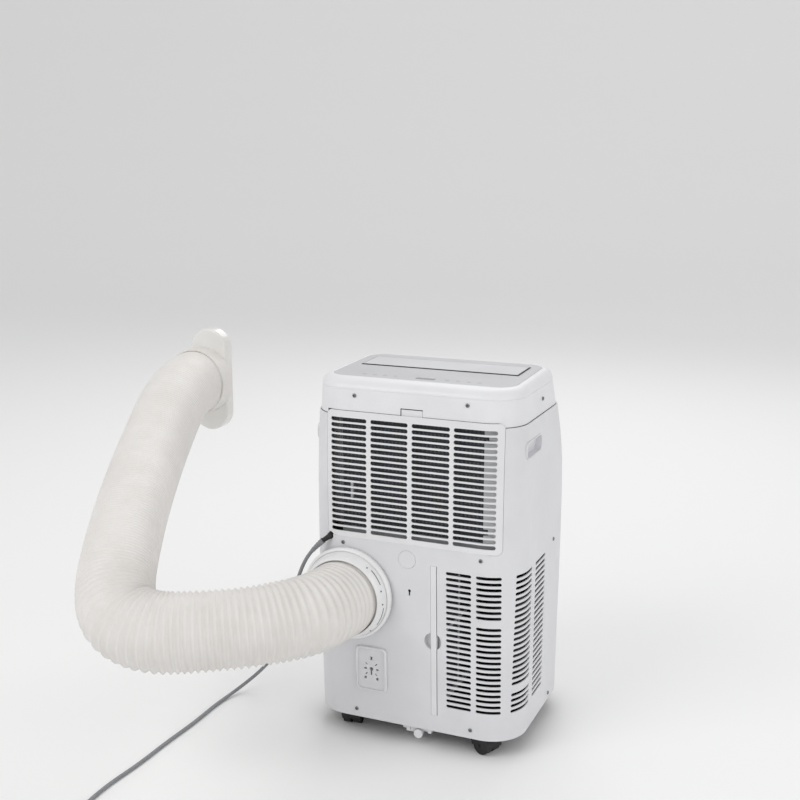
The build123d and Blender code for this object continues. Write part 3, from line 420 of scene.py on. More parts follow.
# %% [markdown]
# ## Shells with smooth corners
# The front panel and the top cover have plan outlines with four rounded corners that change with
# height. Each outline is one quad whose corners are bevelled, and neighbouring outlines are bridged.

# %% Outlines and their bridge
corner_steps = 12


def outline(bm, half, rear, front, rear_r, front_r, height_of):
    """A closed ring of edges with rounded corners; height_of gives z from y."""
    known = set(bm.edges)
    corners = bmesh.ops.create_grid(bm, x_segments=1, y_segments=1, size=0.5)["verts"]
    for corner in corners:
        corner.co = (half if corner.co.x > 0 else -half, rear if corner.co.y > 0 else front, 0.0)
    for chosen, radius in ((corners[2:], rear_r), (corners[:2], front_r)):
        picked = [v for v in chosen if v.is_valid]
        bmesh.ops.bevel(
            bm, geom=picked, offset=radius, offset_type="OFFSET", segments=corner_steps,
            profile=0.5, affect="VERTICES", material=-1,
        )
    ring = [edge for edge in bm.edges if edge not in known]
    faces = {face for edge in ring for face in edge.link_faces}
    bmesh.ops.delete(bm, geom=list(faces), context="FACES_ONLY")
    for vertex in {v for edge in ring for v in edge.verts}:
        vertex.co.z = height_of(vertex.co.y)
    return ring


def bridge_rings(bm, rings):
    """Join each ring to the next with a band of faces."""
    for lower, upper in zip(rings, rings[1:]):
        bmesh.ops.bridge_loops(bm, edges=lower + upper)


def between(levels, height):
    """Outline sizes at a height, from a smooth curve through the known levels."""
    for index in range(len(levels) - 1):
        if height <= levels[index + 1][0]:
            break
    z0, z1 = levels[index][0], levels[index + 1][0]
    share = (height - z0) / (z1 - z0)
    before = levels[max(index - 1, 0)]
    after = levels[min(index + 2, len(levels) - 1)]
    sizes = []
    for column in range(1, len(levels[0])):
        p0, p1 = levels[index][column], levels[index + 1][column]
        m0 = (p1 - before[column]) / max(z1 - before[0], 1e-9) * (z1 - z0)
        m1 = (after[column] - p0) / max(after[0] - z0, 1e-9) * (z1 - z0)
        cube, square = share**3, share**2
        sizes.append(
            (2 * cube - 3 * square + 1) * p0 + (cube - 2 * square + share) * m0
            + (3 * square - 2 * cube) * p1 + (cube - square) * m1
        )
    return sizes

# %% [markdown]
# The front panel wraps round both front corners and stops at a seam. It is made as a whole ring and
# cut at the seam's plane, so its curve is the same as that of the rear housing.

# %% Front panel
body_levels = [
    (0.038, 0.2200, 0.1645, -0.1650, 0.074, 0.058),
    (0.208, 0.2210, 0.1698, -0.1700, 0.0745, 0.059),
    (0.378, 0.2220, 0.1750, -0.1750, 0.075, 0.060),
    (0.530, 0.2220, 0.1750, -0.1720, 0.075, 0.060),
    (0.610, 0.2200, 0.1745, -0.1580, 0.074, 0.058),
    (0.671, 0.2165, 0.1730, -0.1390, 0.072, 0.056),
]
front_low, front_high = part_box("front_panel")
bm = bmesh.new()
rings = []
level_count = 26
for index in range(level_count + 1):
    height = front_low.z + (front_high.z - front_low.z) * index / level_count
    rings.append(outline(bm, *between(body_levels, height), lambda y, z=height: z))
bridge_rings(bm, rings)
bmesh.ops.bisect_plane(
    bm, geom=bm.verts[:] + bm.edges[:] + bm.faces[:], dist=1e-6,
    plane_co=(0, front_high.y, 0), plane_no=(0, 1, 0), clear_outer=True,
)
front_panel = finish_piece("front_shell", bm)
add_solidify(front_panel, 2.6 * MM)
edge_round = front_panel.modifiers.new("edge_round", "BEVEL")
edge_round.width = 0.8 * MM
edge_round.segments = 2
edge_round.angle_limit = radians(60)
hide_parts("front_panel")

# %% [markdown]
# The top cover rises from the casing's seam, has a fine bead line below its shoulder and rolls over
# in a quarter of an ellipse to the grey panel, which leans 1.5 degrees to the rear.

# %% Top cover
top_lean = tan(radians(1.5))


def top_z(y):
    """Height of the grey panel's surface."""
    return 0.742 + (0.131 - y) * top_lean


bm = bmesh.new()
rings = []
wall_levels = [
    (0.6715, 0.2135, 0.1705, -0.1360, 0.070, 0.054),
    (0.7240, 0.2105, 0.1680, -0.1170, 0.068, 0.053),
]
bead = 0.7 * MM
for height, inset in ((0.6715, bead), (0.6722, 0.0), (0.690, 0.0), (0.708, 0.0), (0.7222, 0.0),
                      (0.7226, bead), (0.7235, bead), (0.7240, 0.0)):
    half, rear, front, rear_r, front_r = between(wall_levels, height)
    sizes = (half - inset, rear - inset, front + inset, rear_r - inset, front_r - inset)
    rings.append(outline(bm, *sizes, lambda y, z=height: z))
shoulder_steps = 10
for index in range(1, shoulder_steps + 1):
    turn = radians(90) * index / shoulder_steps
    inward = 1 - cos(turn)
    rise = sin(turn)
    sizes = (
        0.2105 - 0.0170 * inward, 0.1680 - 0.0340 * inward, -0.1170 + 0.0235 * inward,
        0.068 - 0.030 * inward, 0.053 - 0.016 * inward,
    )
    rings.append(outline(bm, *sizes, lambda y, s=rise: 0.7240 + (top_z(y) + 0.0002 - 0.7240) * s))
for drop, grow in ((0.0, 0.0010), (0.0004, 0.0005), (0.0035, 0.0005)):
    sizes = (0.190 + grow, 0.131 + grow, -0.091 - grow, 0.0336 + grow, 0.0336 + grow)
    rings.append(outline(bm, *sizes, lambda y, d=drop: top_z(y) + 0.0002 - d))
bridge_rings(bm, rings)
top_cover = finish_piece("top_shell", bm, sharp_angle=40.0)
add_solidify(top_cover, 2.2 * MM)
keep_modifiers(top_cover)


def cut_box(piece, low, high):
    """Take a box out of a piece and write the result into its mesh."""
    low, high = Vector(low), Vector(high)
    bm = bmesh.new()
    spot = Matrix.Translation((low + high) / 2) @ Matrix.Diagonal((*(high - low), 1.0))
    bmesh.ops.create_cube(bm, size=1.0, matrix=spot)
    mesh = bpy.data.meshes.new("cutter")
    bm.to_mesh(mesh)
    bm.free()
    cutter = bpy.data.objects.new("cutter", mesh)
    scene.collection.objects.link(cutter)
    cut = piece.modifiers.new("cut", "BOOLEAN")
    cut.operation = "DIFFERENCE"
    cut.solver = "EXACT"
    cut.object = cutter
    keep_modifiers(piece)
    bpy.data.objects.remove(cutter)


panel_low, panel_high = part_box("upper_filter_frame")
cut_z = panel_high.z + 0.6 * MM
cut_box(top_cover, (panel_low.x - 0.0006, 0.160, 0.660), (panel_high.x + 0.0006, 0.190, cut_z))
notch_low, notch_high = (-0.0267, 0.161, cut_z - 0.002), (0.0193, 0.176, cut_z + 0.0134)
cut_box(top_cover, notch_low, notch_high)
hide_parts("top_cover")
print("top cover has", len(top_cover.data.polygons), "faces")

# %% [markdown]
# ## Small parts
# A screw head is a spun dome with a cross pressed into it. The cross is two thin dark bars that stand a
# hair above the dome and paint the shade inside the recess, which reads the same at this distance and
# needs few faces.

# %% Screws
rear_screws = [
    (-0.116, 0.1690, 0.711), (0.116, 0.1690, 0.711), (-0.1484, 0.1750, 0.413),
    (0.1405, 0.1750, 0.413), (-0.1284, 0.1652, 0.056), (0.118, 0.1652, 0.055),
]
side_screws = [(0.2123, 0.003, 0.700), (0.222, -0.067, 0.392), (0.2202, -0.063, 0.052)]
screw_places = [(Vector(place), Vector((0, 1, 0))) for place in rear_screws]
for side in (-1, 1):
    screw_places += [(Vector((side * x, y, z)), Vector((side, 0, 0))) for x, y, z in side_screws]
head_profile = [(0.0040, 0.0), (0.0040, 0.0009), (0.0036, 0.0016), (0.0026, 0.0021), (0.0, 0.0022)]
heads = bmesh.new()
cross_shade_mesh = bmesh.new()
for index, (place, axis) in enumerate(screw_places):
    part = bmesh.new()
    spin_profile(part, head_profile, place, axis, axis.orthogonal().normalized(), steps=20)
    scratch = bpy.data.meshes.new("scratch")
    part.to_mesh(scratch)
    part.free()
    heads.from_mesh(scratch)
    bpy.data.meshes.remove(scratch)
    facing = axis.to_track_quat("Z", "Y").to_matrix().to_4x4()
    for quarter in (0, 1):
        turn = Matrix.Rotation(radians(35 + 27 * index + 90 * quarter), 4, "Z")
        size = Matrix.Diagonal((0.0046, 0.0010, 0.0006, 1.0))
        spot = Matrix.Translation(place + axis * 0.0020) @ facing @ turn @ size
        bmesh.ops.create_cube(cross_shade_mesh, size=1.0, matrix=spot)
screws = finish_piece("screw_heads", heads)
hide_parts("screws")
# Painted shade: the dark bars stand for the shade inside each cross recess.
cross_shade_bars = finish_piece("screw_cross_painted_shade", cross_shade_mesh)
print(len(screw_places), "screws")

# %% [markdown]
# The filter cassette behind the upper panel is a dark net in a light frame. From outside, the
# frame's wide rail shows behind one end of the slots, and its sill behind the lowest row.

# %% Filter cassette
net_low, net_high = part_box("upper_filter_mesh")


def add_block(bm, low, high):
    """A box between two corners."""
    low, high = Vector(low), Vector(high)
    size = high - low
    spot = Matrix.Translation((low + high) / 2) @ Matrix.Diagonal((*size, 1.0))
    return bmesh.ops.create_cube(bm, size=1.0, matrix=spot)["verts"]


net_y = 0.1500
net_inset = Vector((0.003, 0.0, 0.001))
bm = bmesh.new()
low_corner = Vector((net_low.x, net_y - 0.0006, net_low.z)) + net_inset
high_corner = Vector((net_high.x, net_y + 0.0006, net_high.z)) - net_inset
add_block(bm, low_corner, high_corner)
net = finish_piece("filter_net", bm, body="upper_filter", smooth=False)
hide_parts("upper_filter_mesh")
rail_steps = [(0.430, 0.457, -0.1455), (0.457, 0.470, -0.1550), (0.470, 0.638, -0.1455),
              (0.638, 0.652, -0.1550), (0.652, 0.668, -0.1455)]
bm = bmesh.new()
for low_z, high_z, inner_x in rail_steps:
    add_block(bm, (-0.178, net_y + 0.001, low_z), (inner_x, net_y + 0.005, high_z))
for z in (0.455, 0.640):
    add_block(bm, (-0.164, net_y + 0.0045, z), (-0.150, net_y + 0.009, z + 0.004))
rail = finish_piece("filter_rail_wide", bm, body="upper_filter", smooth=False)
# Painted shade: the narrow rail is drawn dark grey with ribs, standing for the shade on the cassette's
# inner side wall.
bm = bmesh.new()
add_block(bm, (0.1495, net_y + 0.001, 0.446), (0.1740, net_y + 0.003, 0.668))
for x in (0.1525, 0.1585, 0.1660):
    add_block(bm, (x, net_y + 0.0025, 0.446), (x + 0.0012, net_y + 0.0055, 0.668))
rail_shade_piece = finish_piece("filter_rail_painted_shade", bm, body="upper_filter", smooth=False)
bm = bmesh.new()
add_block(bm, (-0.176, net_y + 0.0015, 0.4295), (0.150, net_y + 0.0055, 0.4420))
sill = finish_piece("filter_sill", bm, body="upper_filter", smooth=False)
bm = bmesh.new()
add_block(bm, (0.1265, net_y + 0.001, 0.502), (0.1312, net_y + 0.007, 0.534))
clip = finish_piece("filter_clip", bm, body="upper_filter", smooth=False)

# %% [markdown]
# The panel's latch tab fills the notch in the top cover. A fine gap stays above it and at one side, and
# a dark block behind them paints the shade inside the gap, so that the gap reads as a line.

# %% Latch tab
bm = bmesh.new()
tab_low = (notch_low[0] + 0.0006, 0.1650, panel_high.z - 0.001)
tab_high = (notch_high[0] - 0.0022, 0.1702, notch_high[2] - 0.0020)
add_block(bm, tab_low, tab_high)
bmesh.ops.bevel(
    bm, geom=bm.edges[:], offset=0.0006, offset_type="OFFSET", segments=2, profile=0.5,
    affect="EDGES", material=-1,
)
tab = finish_piece("latch_tab", bm, body="upper_filter")
# Painted shade: a dark block behind the gap stands for the shade inside it.
bm = bmesh.new()
gap_shade_low = (notch_low[0] - 0.004, 0.1600, cut_z + 0.0005)
gap_shade_high = (notch_high[0] + 0.004, 0.1612, notch_high[2] + 0.004)
add_block(bm, gap_shade_low, gap_shade_high)
gap_shade_block = finish_piece("notch_painted_shade", bm, smooth=False)

# %% [markdown]
# ## Painted shade along the louver
# A thin black strip paints the shade of the groove along the louver flap's hinge side and one end.
# It is fixed to the flap and turns with it.

# %% Louver groove shade
flap_rear = 0.0230
bm = bmesh.new()
# Painted shade: these dark strips stand for the shade in the groove beside the flap.
groove_shade_verts = add_block(bm, (-0.1676, flap_rear - 0.0052, -0.0002), (0.1676, flap_rear - 0.0004, 0.0009))
groove_shade_verts += add_block(bm, (-0.1676, -0.0600, -0.0002), (-0.1644, flap_rear - 0.0053, 0.0008))
for vertex in groove_shade_verts:
    vertex.co.z += top_z(vertex.co.y)
flap_groove_shade = finish_piece("flap_groove_shade", bm, body="louver_flap", smooth=False)

# %% [markdown]
# ## The plug holder's rim
# The plug is parked in a holder with a raised, rounded rim. The rim is a stack of rounded outlines,
# bridged, closed and stood upright against the rear face, which leans back a little.

# %% Holder rim
holder_middle = Vector((0.0825, 0.0, 0.150))
rim_rings = [
    (0.0335, 0.048, 0.0102, 0.0002), (0.0335, 0.048, 0.0102, 0.0022), (0.0328, 0.0473, 0.0095, 0.0040),
    (0.0312, 0.0457, 0.0080, 0.0048), (0.0298, 0.0443, 0.0068, 0.0044),
    (0.0288, 0.0433, 0.0058, 0.0028), (0.0286, 0.0431, 0.0056, 0.0002),
]
bm = bmesh.new()
rings = []
for half_x, half_z, corner, height in rim_rings:
    rings.append(outline(bm, half_x, half_z, -half_z, corner, corner, lambda y, h=height: h))
bridge_rings(bm, rings)
bmesh.ops.bridge_loops(bm, edges=rings[-1] + rings[0])
face_lean = Matrix.Rotation(-0.0309, 4, "X")
upright = Matrix.Rotation(radians(90), 4, "X") @ Matrix.Scale(-1, 4, (0, 0, 1))
stand = Matrix.Translation(holder_middle + Vector((0, 0.1687, 0))) @ face_lean @ upright
bmesh.ops.transform(bm, matrix=stand, verts=bm.verts[:])
holder_rim = finish_piece("plug_holder_rim", bm, sharp_angle=60.0)

# %% [markdown]
# ## Under the casing
# The drain outlet hangs in a small white bracket, and a thin dark strip sits under the casing's lower
# edge beside it.

# %% Drain bracket and dark strip
bm = bmesh.new()
add_block(bm, (-0.0430, 0.1370, 0.0275), (0.0200, 0.1540, 0.0372))
add_block(bm, (-0.0060, 0.1400, 0.0215), (0.0130, 0.1535, 0.0280))
bmesh.ops.bevel(
    bm, geom=bm.edges[:], offset=0.0012, offset_type="OFFSET", segments=2, profile=0.5,
    affect="EDGES", material=-1,
)
bracket = finish_piece("drain_bracket", bm)
bm = bmesh.new()
add_block(bm, (0.0210, 0.1500, 0.0325), (0.1120, 0.1535, 0.0372))
under_casing_strip = finish_piece("under_casing_dark_strip", bm, smooth=False)

# %% [markdown]
# ## Touch marks on the grey panel
# The controls are touch fields under faint generic marks: rings, bars and dots, with no lettering.

# %% Touch marks
panel_tilt = Matrix.Rotation(-radians(1.5), 4, "X")


def on_panel(x, y, lift):
    """A matrix on the grey panel's surface."""
    return Matrix.Translation((x, y, top_z(y) + lift)) @ panel_tilt


bm = bmesh.new()
mark_y = 0.1075
for index, x in enumerate((0.122, 0.100, 0.078, 0.056, -0.052, -0.074, -0.096, -0.118)):
    ring = bmesh.ops.create_circle(
        bm, cap_ends=False, segments=24, radius=0.0031, matrix=on_panel(x, mark_y, 0.00012),
    )["verts"]
    ring_edges = list({edge for vertex in ring for edge in vertex.link_edges})
    wide = bmesh.ops.extrude_edge_only(bm, edges=ring_edges)["geom"]
    grown = [item for item in wide if isinstance(item, bmesh.types.BMVert)]
    centre = on_panel(x, mark_y, 0.00012)
    bmesh.ops.transform(bm, matrix=centre @ Matrix.Scale(1.22, 4) @ centre.inverted(), verts=grown)
    bars = ((0.0026, 0.0006),) if index % 2 else ((0.0026, 0.0006), (0.0006, 0.0026))
    for wide_x, wide_y in bars:
        size = Matrix.Diagonal((wide_x, wide_y, 1.0, 1.0))
        bmesh.ops.create_grid(
            bm, x_segments=1, y_segments=1, size=0.5, matrix=on_panel(x, mark_y, 0.00014) @ size,
        )
marks_top = finish_piece("touch_marks", bm, outward=False, smooth=False)
for polygon in marks_top.data.polygons:
    if polygon.normal.z < 0:
        polygon.flip()

# %% [markdown]
# ## Colours and nodes
# Colours are written as sRGB hex values, and one function turns them linear. One helper adds a node
# with its settings, its fixed inputs and its links.

# %% Colour and node helpers
def linear(hex_colour):
    """Linear RGBA from an sRGB hex colour such as E2E2E4."""
    parts = [int(hex_colour[i:i + 2], 16) / 255 for i in (0, 2, 4)]
    return (*[p / 12.92 if p <= 0.04045 else ((p + 0.055) / 1.055) ** 2.4 for p in parts], 1.0)


def add_node(material, kind, settings=None, values=None, links=None):
    """Add one node; values sets fixed inputs and links joins inputs to other nodes' outputs."""
    tree = material.node_tree
    node = tree.nodes.new(kind)
    for key, value in (settings or {}).items():
        setattr(node, key, value)
    for key, value in (values or {}).items():
        node.inputs[key].default_value = value
    for key, (source, output) in (links or {}).items():
        tree.links.new(source.outputs[output], node.inputs[key])
    return node


def new_material(name, **fixed):
    """A material with its Principled shader and Object coordinates; fixed sets shader sockets."""
    material = bpy.data.materials.new(name)
    material.use_nodes = True
    shader = material.node_tree.nodes["Principled BSDF"]
    for key, value in fixed.items():
        shader.inputs[key.replace("_", " ")].default_value = value
    place = add_node(material, "ShaderNodeTexCoord")
    return material, shader, place


def feed(material, shader, socket, source, output):
    """Join a node's output to one of the shader's sockets."""
    material.node_tree.links.new(source.outputs[output], shader.inputs[socket])

# %% [markdown]
# ## Moulded plastics
# ABS housings are moulded in spark-eroded tools, which leave a fine grain that spreads highlights.
# The grain is really about 0.3 mm; it is drawn a little coarser so that it shows. A slow change of
# colour and roughness stands for flow in the mould and for light handling.

# %% Moulded plastic
def moulded(name, light, dark, roughness=(0.38, 0.5), grain_mm=0.8, bump_mm=0.02, coat=0.0):
    """Moulded thermoplastic: two near colours, a fine grain and uneven gloss."""
    material, shader, place = new_material(name, IOR=1.5, Coat_Weight=coat, Coat_Roughness=0.12)
    slow = add_node(
        material, "ShaderNodeTexNoise", values={"Scale": 1 / 0.09, "Detail": 3.0},
        links={"Vector": (place, "Object")},
    )
    tint = add_node(material, "ShaderNodeValToRGB", links={"Fac": (slow, "Fac")})
    tint.color_ramp.elements[0].position = 0.35
    tint.color_ramp.elements[0].color = linear(dark)
    tint.color_ramp.elements[1].position = 0.65
    tint.color_ramp.elements[1].color = linear(light)
    feed(material, shader, "Base Color", tint, "Color")
    gloss = add_node(
        material, "ShaderNodeMapRange", values={"To Min": roughness[0], "To Max": roughness[1]},
        links={"Value": (slow, "Fac")},
    )
    feed(material, shader, "Roughness", gloss, "Result")
    grain = add_node(
        material, "ShaderNodeTexNoise", values={"Scale": 1 / (grain_mm * MM), "Detail": 2.0},
        links={"Vector": (place, "Object")},
    )
    bump = add_node(
        material, "ShaderNodeBump", values={"Strength": 0.35, "Distance": bump_mm * MM},
        links={"Height": (grain, "Fac")},
    )
    feed(material, shader, "Normal", bump, "Normal")
    return material


casing_abs = moulded("abs_casing_fine_grain", "DEDEE1", "D9D9DC")
cover_abs = moulded("abs_cover_satin", "E6E6E8", "E1E1E4", roughness=(0.32, 0.44))
panel_abs = moulded("abs_panel_grey", "C2C2C5", "BCBCBF", roughness=(0.36, 0.46))
flap_abs = moulded("abs_flap_light_grey", "CFCFD2", "C9C9CC", roughness=(0.34, 0.44))
filter_abs = moulded("abs_filter_frame", "E4E4E6", "DFDFE1", roughness=(0.36, 0.48))
coupling_pp = moulded(
    "polypropylene_coupling", "ECECEC", "E6E6E6", roughness=(0.22, 0.34), grain_mm=1.6, coat=0.15,
)
nozzle_pp = moulded(
    "polypropylene_nozzle", "E9E8E5", "E3E1DD", roughness=(0.14, 0.24), grain_mm=2.0, coat=0.4,
)
duct_abs = moulded("abs_duct_grey", "77787B", "6C6D70", roughness=(0.45, 0.6))
rail_abs = moulded("abs_rail_light", "CFD0D2", "C2C4C6", roughness=(0.4, 0.55))
# Painted shade: this dark grey stands for the shade on the filter cassette's inner side wall.
rail_shade_abs = moulded("abs_rail_painted_shade", "6E7174", "5C5F63", roughness=(0.3, 0.5))
sill_abs = moulded("abs_sill_grey", "A4A6A9", "989B9E", roughness=(0.4, 0.55))
mark_ink = moulded("printed_mark_ink", "9A9B9E", "8E9093", roughness=(0.5, 0.6))
nylon_black = moulded("nylon_black", "1B1B1C", "121213", roughness=(0.42, 0.6), grain_mm=0.6)
fan_nylon = moulded("nylon_fan_dark", "2B2D30", "222427", roughness=(0.45, 0.6))
foam = moulded("expanded_foam", "8E9196", "7D8085", roughness=(0.75, 0.9), grain_mm=2.6, bump_mm=0.3)
plug_pvc = moulded("pvc_plug_grey", "4A4B4E", "3F4043", roughness=(0.4, 0.5))
print("plastics ready")

# %% [markdown]
# ## Film, net, rubber, metal and glass
# Each remaining finish has one pattern of its own, scaled from a real size.

# %% Duct film
def duct_film():
    """Thin warm-white film: a faint cloudiness of colour and small creases."""
    material, shader, place = new_material("polyester_duct_film", IOR=1.46, Roughness=0.46)
    cloud = add_node(
        material, "ShaderNodeTexNoise", values={"Scale": 1 / 0.055, "Detail": 4.0, "Roughness": 0.6},
        links={"Vector": (place, "Object")},
    )
    tint = add_node(material, "ShaderNodeValToRGB", links={"Fac": (cloud, "Fac")})
    tint.color_ramp.elements[0].position = 0.32
    tint.color_ramp.elements[0].color = linear("E2DEDA")
    tint.color_ramp.elements[1].position = 0.68
    tint.color_ramp.elements[1].color = linear("E8E5E2")
    feed(material, shader, "Base Color", tint, "Color")
    crease = add_node(
        material, "ShaderNodeTexNoise", values={"Scale": 1 / 0.007, "Detail": 3.0, "Distortion": 0.8},
        links={"Vector": (place, "Object")},
    )
    bump = add_node(
        material, "ShaderNodeBump", values={"Strength": 0.4, "Distance": 0.5 * MM},
        links={"Height": (crease, "Fac")},
    )
    feed(material, shader, "Normal", bump, "Normal")
    shader.inputs["Subsurface Weight"].default_value = 0.12
    shader.inputs["Subsurface Radius"].default_value = (0.012, 0.010, 0.009)
    return material


film = duct_film()

# %% Filter net
def filter_net_material():
    """Knitted nylon net over fins: crossing threads, drawn 4 mm apart so that they show."""
    material, shader, place = new_material("nylon_filter_net", IOR=1.5, Roughness=0.55)
    thread = 4.0 * MM
    across = add_node(
        material, "ShaderNodeTexWave", settings={"bands_direction": "X"},
        values={"Scale": 1 / (thread * 20) * pi, "Distortion": 0.6, "Detail": 1.0},
        links={"Vector": (place, "Object")},
    )
    down = add_node(
        material, "ShaderNodeTexWave", settings={"bands_direction": "Z"},
        values={"Scale": 1 / (thread * 20) * pi, "Distortion": 0.6, "Detail": 1.0},
        links={"Vector": (place, "Object")},
    )
    both = add_node(
        material, "ShaderNodeMath", settings={"operation": "MULTIPLY"},
        links={0: (across, "Fac"), 1: (down, "Fac")},
    )
    tint = add_node(material, "ShaderNodeValToRGB", links={"Fac": (both, "Value")})
    tint.color_ramp.elements[0].color = linear("23262B")
    tint.color_ramp.elements[1].color = linear("4A5058")
    feed(material, shader, "Base Color", tint, "Color")
    return material


net_nylon = filter_net_material()

# %% Soft PVC and rubber
def soft_rubber(name, light, dark, roughness, speck_mm):
    """Soft PVC or rubber: a dull skin with fine dust."""
    material, shader, place = new_material(name, IOR=1.52, Roughness=roughness)
    dust = add_node(
        material, "ShaderNodeTexNoise", values={"Scale": 1 / (speck_mm * MM), "Detail": 5.0},
        links={"Vector": (place, "Object")},
    )
    tint = add_node(material, "ShaderNodeValToRGB", links={"Fac": (dust, "Fac")})
    tint.color_ramp.elements[0].position = 0.4
    tint.color_ramp.elements[0].color = linear(dark)
    tint.color_ramp.elements[1].position = 0.7
    tint.color_ramp.elements[1].color = linear(light)
    feed(material, shader, "Base Color", tint, "Color")
    bump = add_node(
        material, "ShaderNodeBump", values={"Strength": 0.3, "Distance": 0.05 * MM},
        links={"Height": (dust, "Fac")},
    )
    feed(material, shader, "Normal", bump, "Normal")
    return material


cord_pvc = soft_rubber("pvc_cord_grey", "8C8E91", "7C7E82", 0.42, 3.0)
wheel_rubber = soft_rubber("rubber_wheel_black", "1E1E1E", "141414", 0.6, 4.0)
mount_rubber = soft_rubber("rubber_mount_black", "232323", "161616", 0.7, 2.0)

# %% Metals
def sheet_metal(name, light, dark, metallic, roughness, grain_mm, stretch):
    """Rolled or drawn metal: a grain stretched along one direction."""
    material, shader, place = new_material(name, Metallic=metallic)
    turn = add_node(
        material, "ShaderNodeMapping", values={"Scale": stretch}, links={"Vector": (place, "Object")},
    )
    grain = add_node(
        material, "ShaderNodeTexNoise", values={"Scale": 1 / (grain_mm * MM), "Detail": 4.0},
        links={"Vector": (turn, "Vector")},
    )
    tint = add_node(material, "ShaderNodeValToRGB", links={"Fac": (grain, "Fac")})
    tint.color_ramp.elements[0].position = 0.3
    tint.color_ramp.elements[0].color = linear(dark)
    tint.color_ramp.elements[1].position = 0.7
    tint.color_ramp.elements[1].color = linear(light)
    feed(material, shader, "Base Color", tint, "Color")
    gloss = add_node(
        material, "ShaderNodeMapRange",
        values={"To Min": roughness - 0.08, "To Max": roughness + 0.08}, links={"Value": (grain, "Fac")},
    )
    feed(material, shader, "Roughness", gloss, "Result")
    return material


galvanised = sheet_metal("steel_galvanised", "A9ADB0", "8C9094", 1.0, 0.42, 9.0, (1, 1, 1))
enamel_black = sheet_metal("enamel_black", "1C1D1F", "121315", 0.0, 0.35, 6.0, (1, 1, 1))
fin_stack = sheet_metal("aluminium_fins", "8F9397", "3E4246", 1.0, 0.5, 3.0, (1, 0.05, 0.05))
copper = sheet_metal("copper_drawn", "C98A66", "A8694A", 1.0, 0.3, 3.0, (1, 1, 0.2))
motor_can = sheet_metal("steel_motor_can", "8E9194", "75787B", 1.0, 0.38, 4.0, (1, 0.2, 1))
screw_steel = sheet_metal("steel_screw_zinc", "96979A", "737477", 0.9, 0.36, 1.5, (1, 1, 1))
pin_brass = sheet_metal("brass_nickel_plated", "C9C7C0", "B4B1A8", 1.0, 0.22, 1.5, (1, 0.3, 1))

# %% Display and circuit board
def smoked_window():
    """Smoked acrylic over a display: glossy, with a faint grid of segments behind."""
    material, shader, place = new_material("acrylic_smoked", IOR=1.49, Roughness=0.12)
    cells = add_node(
        material, "ShaderNodeTexVoronoi", values={"Scale": 1 / 0.006}, links={"Vector": (place, "Object")},
    )
    tint = add_node(material, "ShaderNodeValToRGB", links={"Fac": (cells, "Distance")})
    tint.color_ramp.elements[0].color = linear("8A8B8D")
    tint.color_ramp.elements[1].color = linear("939496")
    feed(material, shader, "Base Color", tint, "Color")
    return material


def solder_mask():
    """Green solder mask with paler tracks."""
    material, shader, place = new_material("solder_mask_green", IOR=1.5, Roughness=0.35)
    tracks = add_node(
        material, "ShaderNodeTexBrick",
        values={
            "Scale": 1 / 0.05, "Mortar Size": 0.03, "Color1": linear("1F5A33"),
            "Color2": linear("1B4F2D"), "Mortar": linear("3E8A54"),
        },
        links={"Vector": (place, "Object")},
    )
    feed(material, shader, "Base Color", tracks, "Color")
    return material


window_acrylic = smoked_window()
board_mask = solder_mask()

# %% [markdown]
# ## Finishes on the parts
# Every CAD node that still shows gets a finish by its name, and so does every new piece.

# %% Give each part its finish
finish_of = {
    "rear_housing": casing_abs, "control_panel": panel_abs, "display_window": window_acrylic,
    "control_board": board_mask, "louver_flap": flap_abs, "outlet_duct": duct_abs,
    "flap_motor": motor_can, "tie_bar": fan_nylon, "upper_filter_frame": filter_abs,
    "lower_filter_frame": filter_abs, "lower_filter_mesh": net_nylon, "left_grip": casing_abs,
    "right_grip": casing_abs, "plug_holder": casing_abs, "drain_cover": casing_abs,
    "drain_spout": filter_abs, "drain_cap": filter_abs, "cord_gland": nylon_black,
    "base_pan": nylon_black, "compressor": enamel_black, "rubber_mounts": mount_rubber,
    "condenser_coil": fin_stack, "discharge_pipe": copper, "suction_pipe": copper,
    "lower_scroll": foam, "exhaust_socket": duct_abs, "lower_blower": fan_nylon,
    "lower_fan_motor": motor_can, "slinger_motor": motor_can, "slinger_wheel": nylon_black,
    "partition": foam, "evaporator_coil": fin_stack, "upper_scroll": foam,
    "upper_blower": fan_nylon, "upper_fan_motor": motor_can, "control_box": galvanised,
    "window_collar": film, "window_nozzle": nozzle_pp,
    "mains_cord": cord_pvc, "strain_relief": cord_pvc, "plug_body": plug_pvc, "plug_pins": pin_brass,
    "exhaust_duct": film, "coupling_ring": coupling_pp, "coupling_hole_shade": nylon_black,
    "front_shell": casing_abs, "top_shell": cover_abs, "screw_heads": screw_steel,
    "screw_cross_painted_shade": nylon_black, "filter_net": net_nylon, "filter_rail_wide": rail_abs,
    "filter_rail_painted_shade": rail_shade_abs, "filter_sill": sill_abs, "filter_clip": rail_abs,
    "flap_groove_shade": mount_rubber, "plug_holder_rim": cover_abs, "drain_bracket": filter_abs,
    "under_casing_dark_strip": enamel_black,
    "latch_tab": filter_abs, "notch_painted_shade": nylon_black, "touch_marks": mark_ink,
}
shown = [o for o in scene.objects if o.type in ("MESH", "CURVE")]
for part in shown:
    finish = finish_of.get(part.name)
    if finish is None and part.name.startswith("swing_vane"):
        finish = fan_nylon
    if finish is None and part.name.startswith("castor_hood"):
        finish = nylon_black
    if finish is None and part.name.startswith("castor_wheels"):
        finish = wheel_rubber
    if finish is None:
        print("no finish for", part.name)
        continue
    if part.material_slots:
        for holder in part.material_slots:
            holder.material = finish
    else:
        part.data.materials.append(finish)
print(len(shown), "parts have a finish")

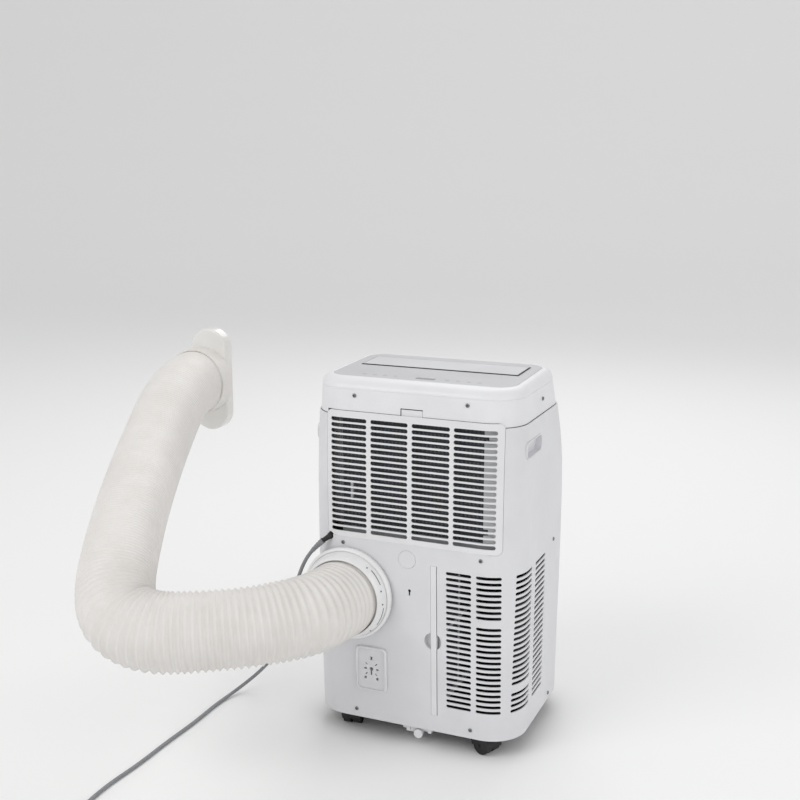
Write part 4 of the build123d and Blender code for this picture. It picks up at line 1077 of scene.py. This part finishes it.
# %% [markdown]
# ## Studio: a white cove and soft light
# A white cove hides the horizon: its floor runs back and curves up into a wall. Two large soft
# lights and an even sky give white plastic gentle shades. The plain display transform is used,
# because a filmic one would turn the whites grey.

# %% Cove
cove_start, cove_radius, cove_half = 5.0, 2.5, 14.0
bm = bmesh.new()
rows = 48
grid = bmesh.ops.create_grid(bm, x_segments=2, y_segments=rows, size=0.5)
arc_length = cove_radius * pi / 2
cove_front, cove_wall = 12.0, 5.0
total = sum((cove_front, cove_start, arc_length, cove_wall))
for vertex in grid["verts"]:
    run = (0.5 - vertex.co.y) * total - cove_front
    if run < cove_start:
        place = (-run, 0.0)
    elif run < cove_start + arc_length:
        turn = (run - cove_start) / cove_radius
        place = (-cove_start - cove_radius * sin(turn), cove_radius * (1 - cos(turn)))
    else:
        place = (-cove_start - cove_radius, cove_radius + run - cove_start - arc_length)
    vertex.co = (vertex.co.x * 2 * cove_half, *place)
for face in bm.faces:
    face.smooth = True
floor_mesh = bpy.data.meshes.new("studio_cove")
bm.to_mesh(floor_mesh)
bm.free()
floor = bpy.data.objects.new("studio_cove", floor_mesh)
scene.collection.objects.link(floor)
cove_paint, cove_shader, _ = new_material("studio_paint", Roughness=0.8)
cove_shader.inputs["Base Color"].default_value = linear("F6F6F6")
floor.data.materials.append(cove_paint)
scene.view_settings.view_transform = "Standard"

# %% Lights and sky
def soft_light(name, place, aim, size, power):
    """A square area light that faces a point."""
    light = bpy.data.lights.new(name, "AREA")
    light.size = size
    light.energy = power
    holder = bpy.data.objects.new(name, light)
    scene.collection.objects.link(holder)
    holder.location = place
    holder.rotation_euler = (Vector(aim) - Vector(place)).to_track_quat("-Z", "Y").to_euler()


middle = (0.1, 0.1, 0.4)
soft_light("key_light", (1.8, 3.0, 3.2), middle, 2.4, 46.0)
soft_light("fill_light", (-3.4, 1.2, 1.8), middle, 2.5, 24.0)
soft_light("back_light", (0.5, -3.0, 3.4), middle, 2.5, 36.0)
world = bpy.data.worlds.new("studio_sky")
scene.world = world
world.use_nodes = True
sky = world.node_tree.nodes["Background"]
sky.inputs["Color"].default_value = (1.0, 1.0, 1.0, 1.0)
sky.inputs["Strength"].default_value = 0.68
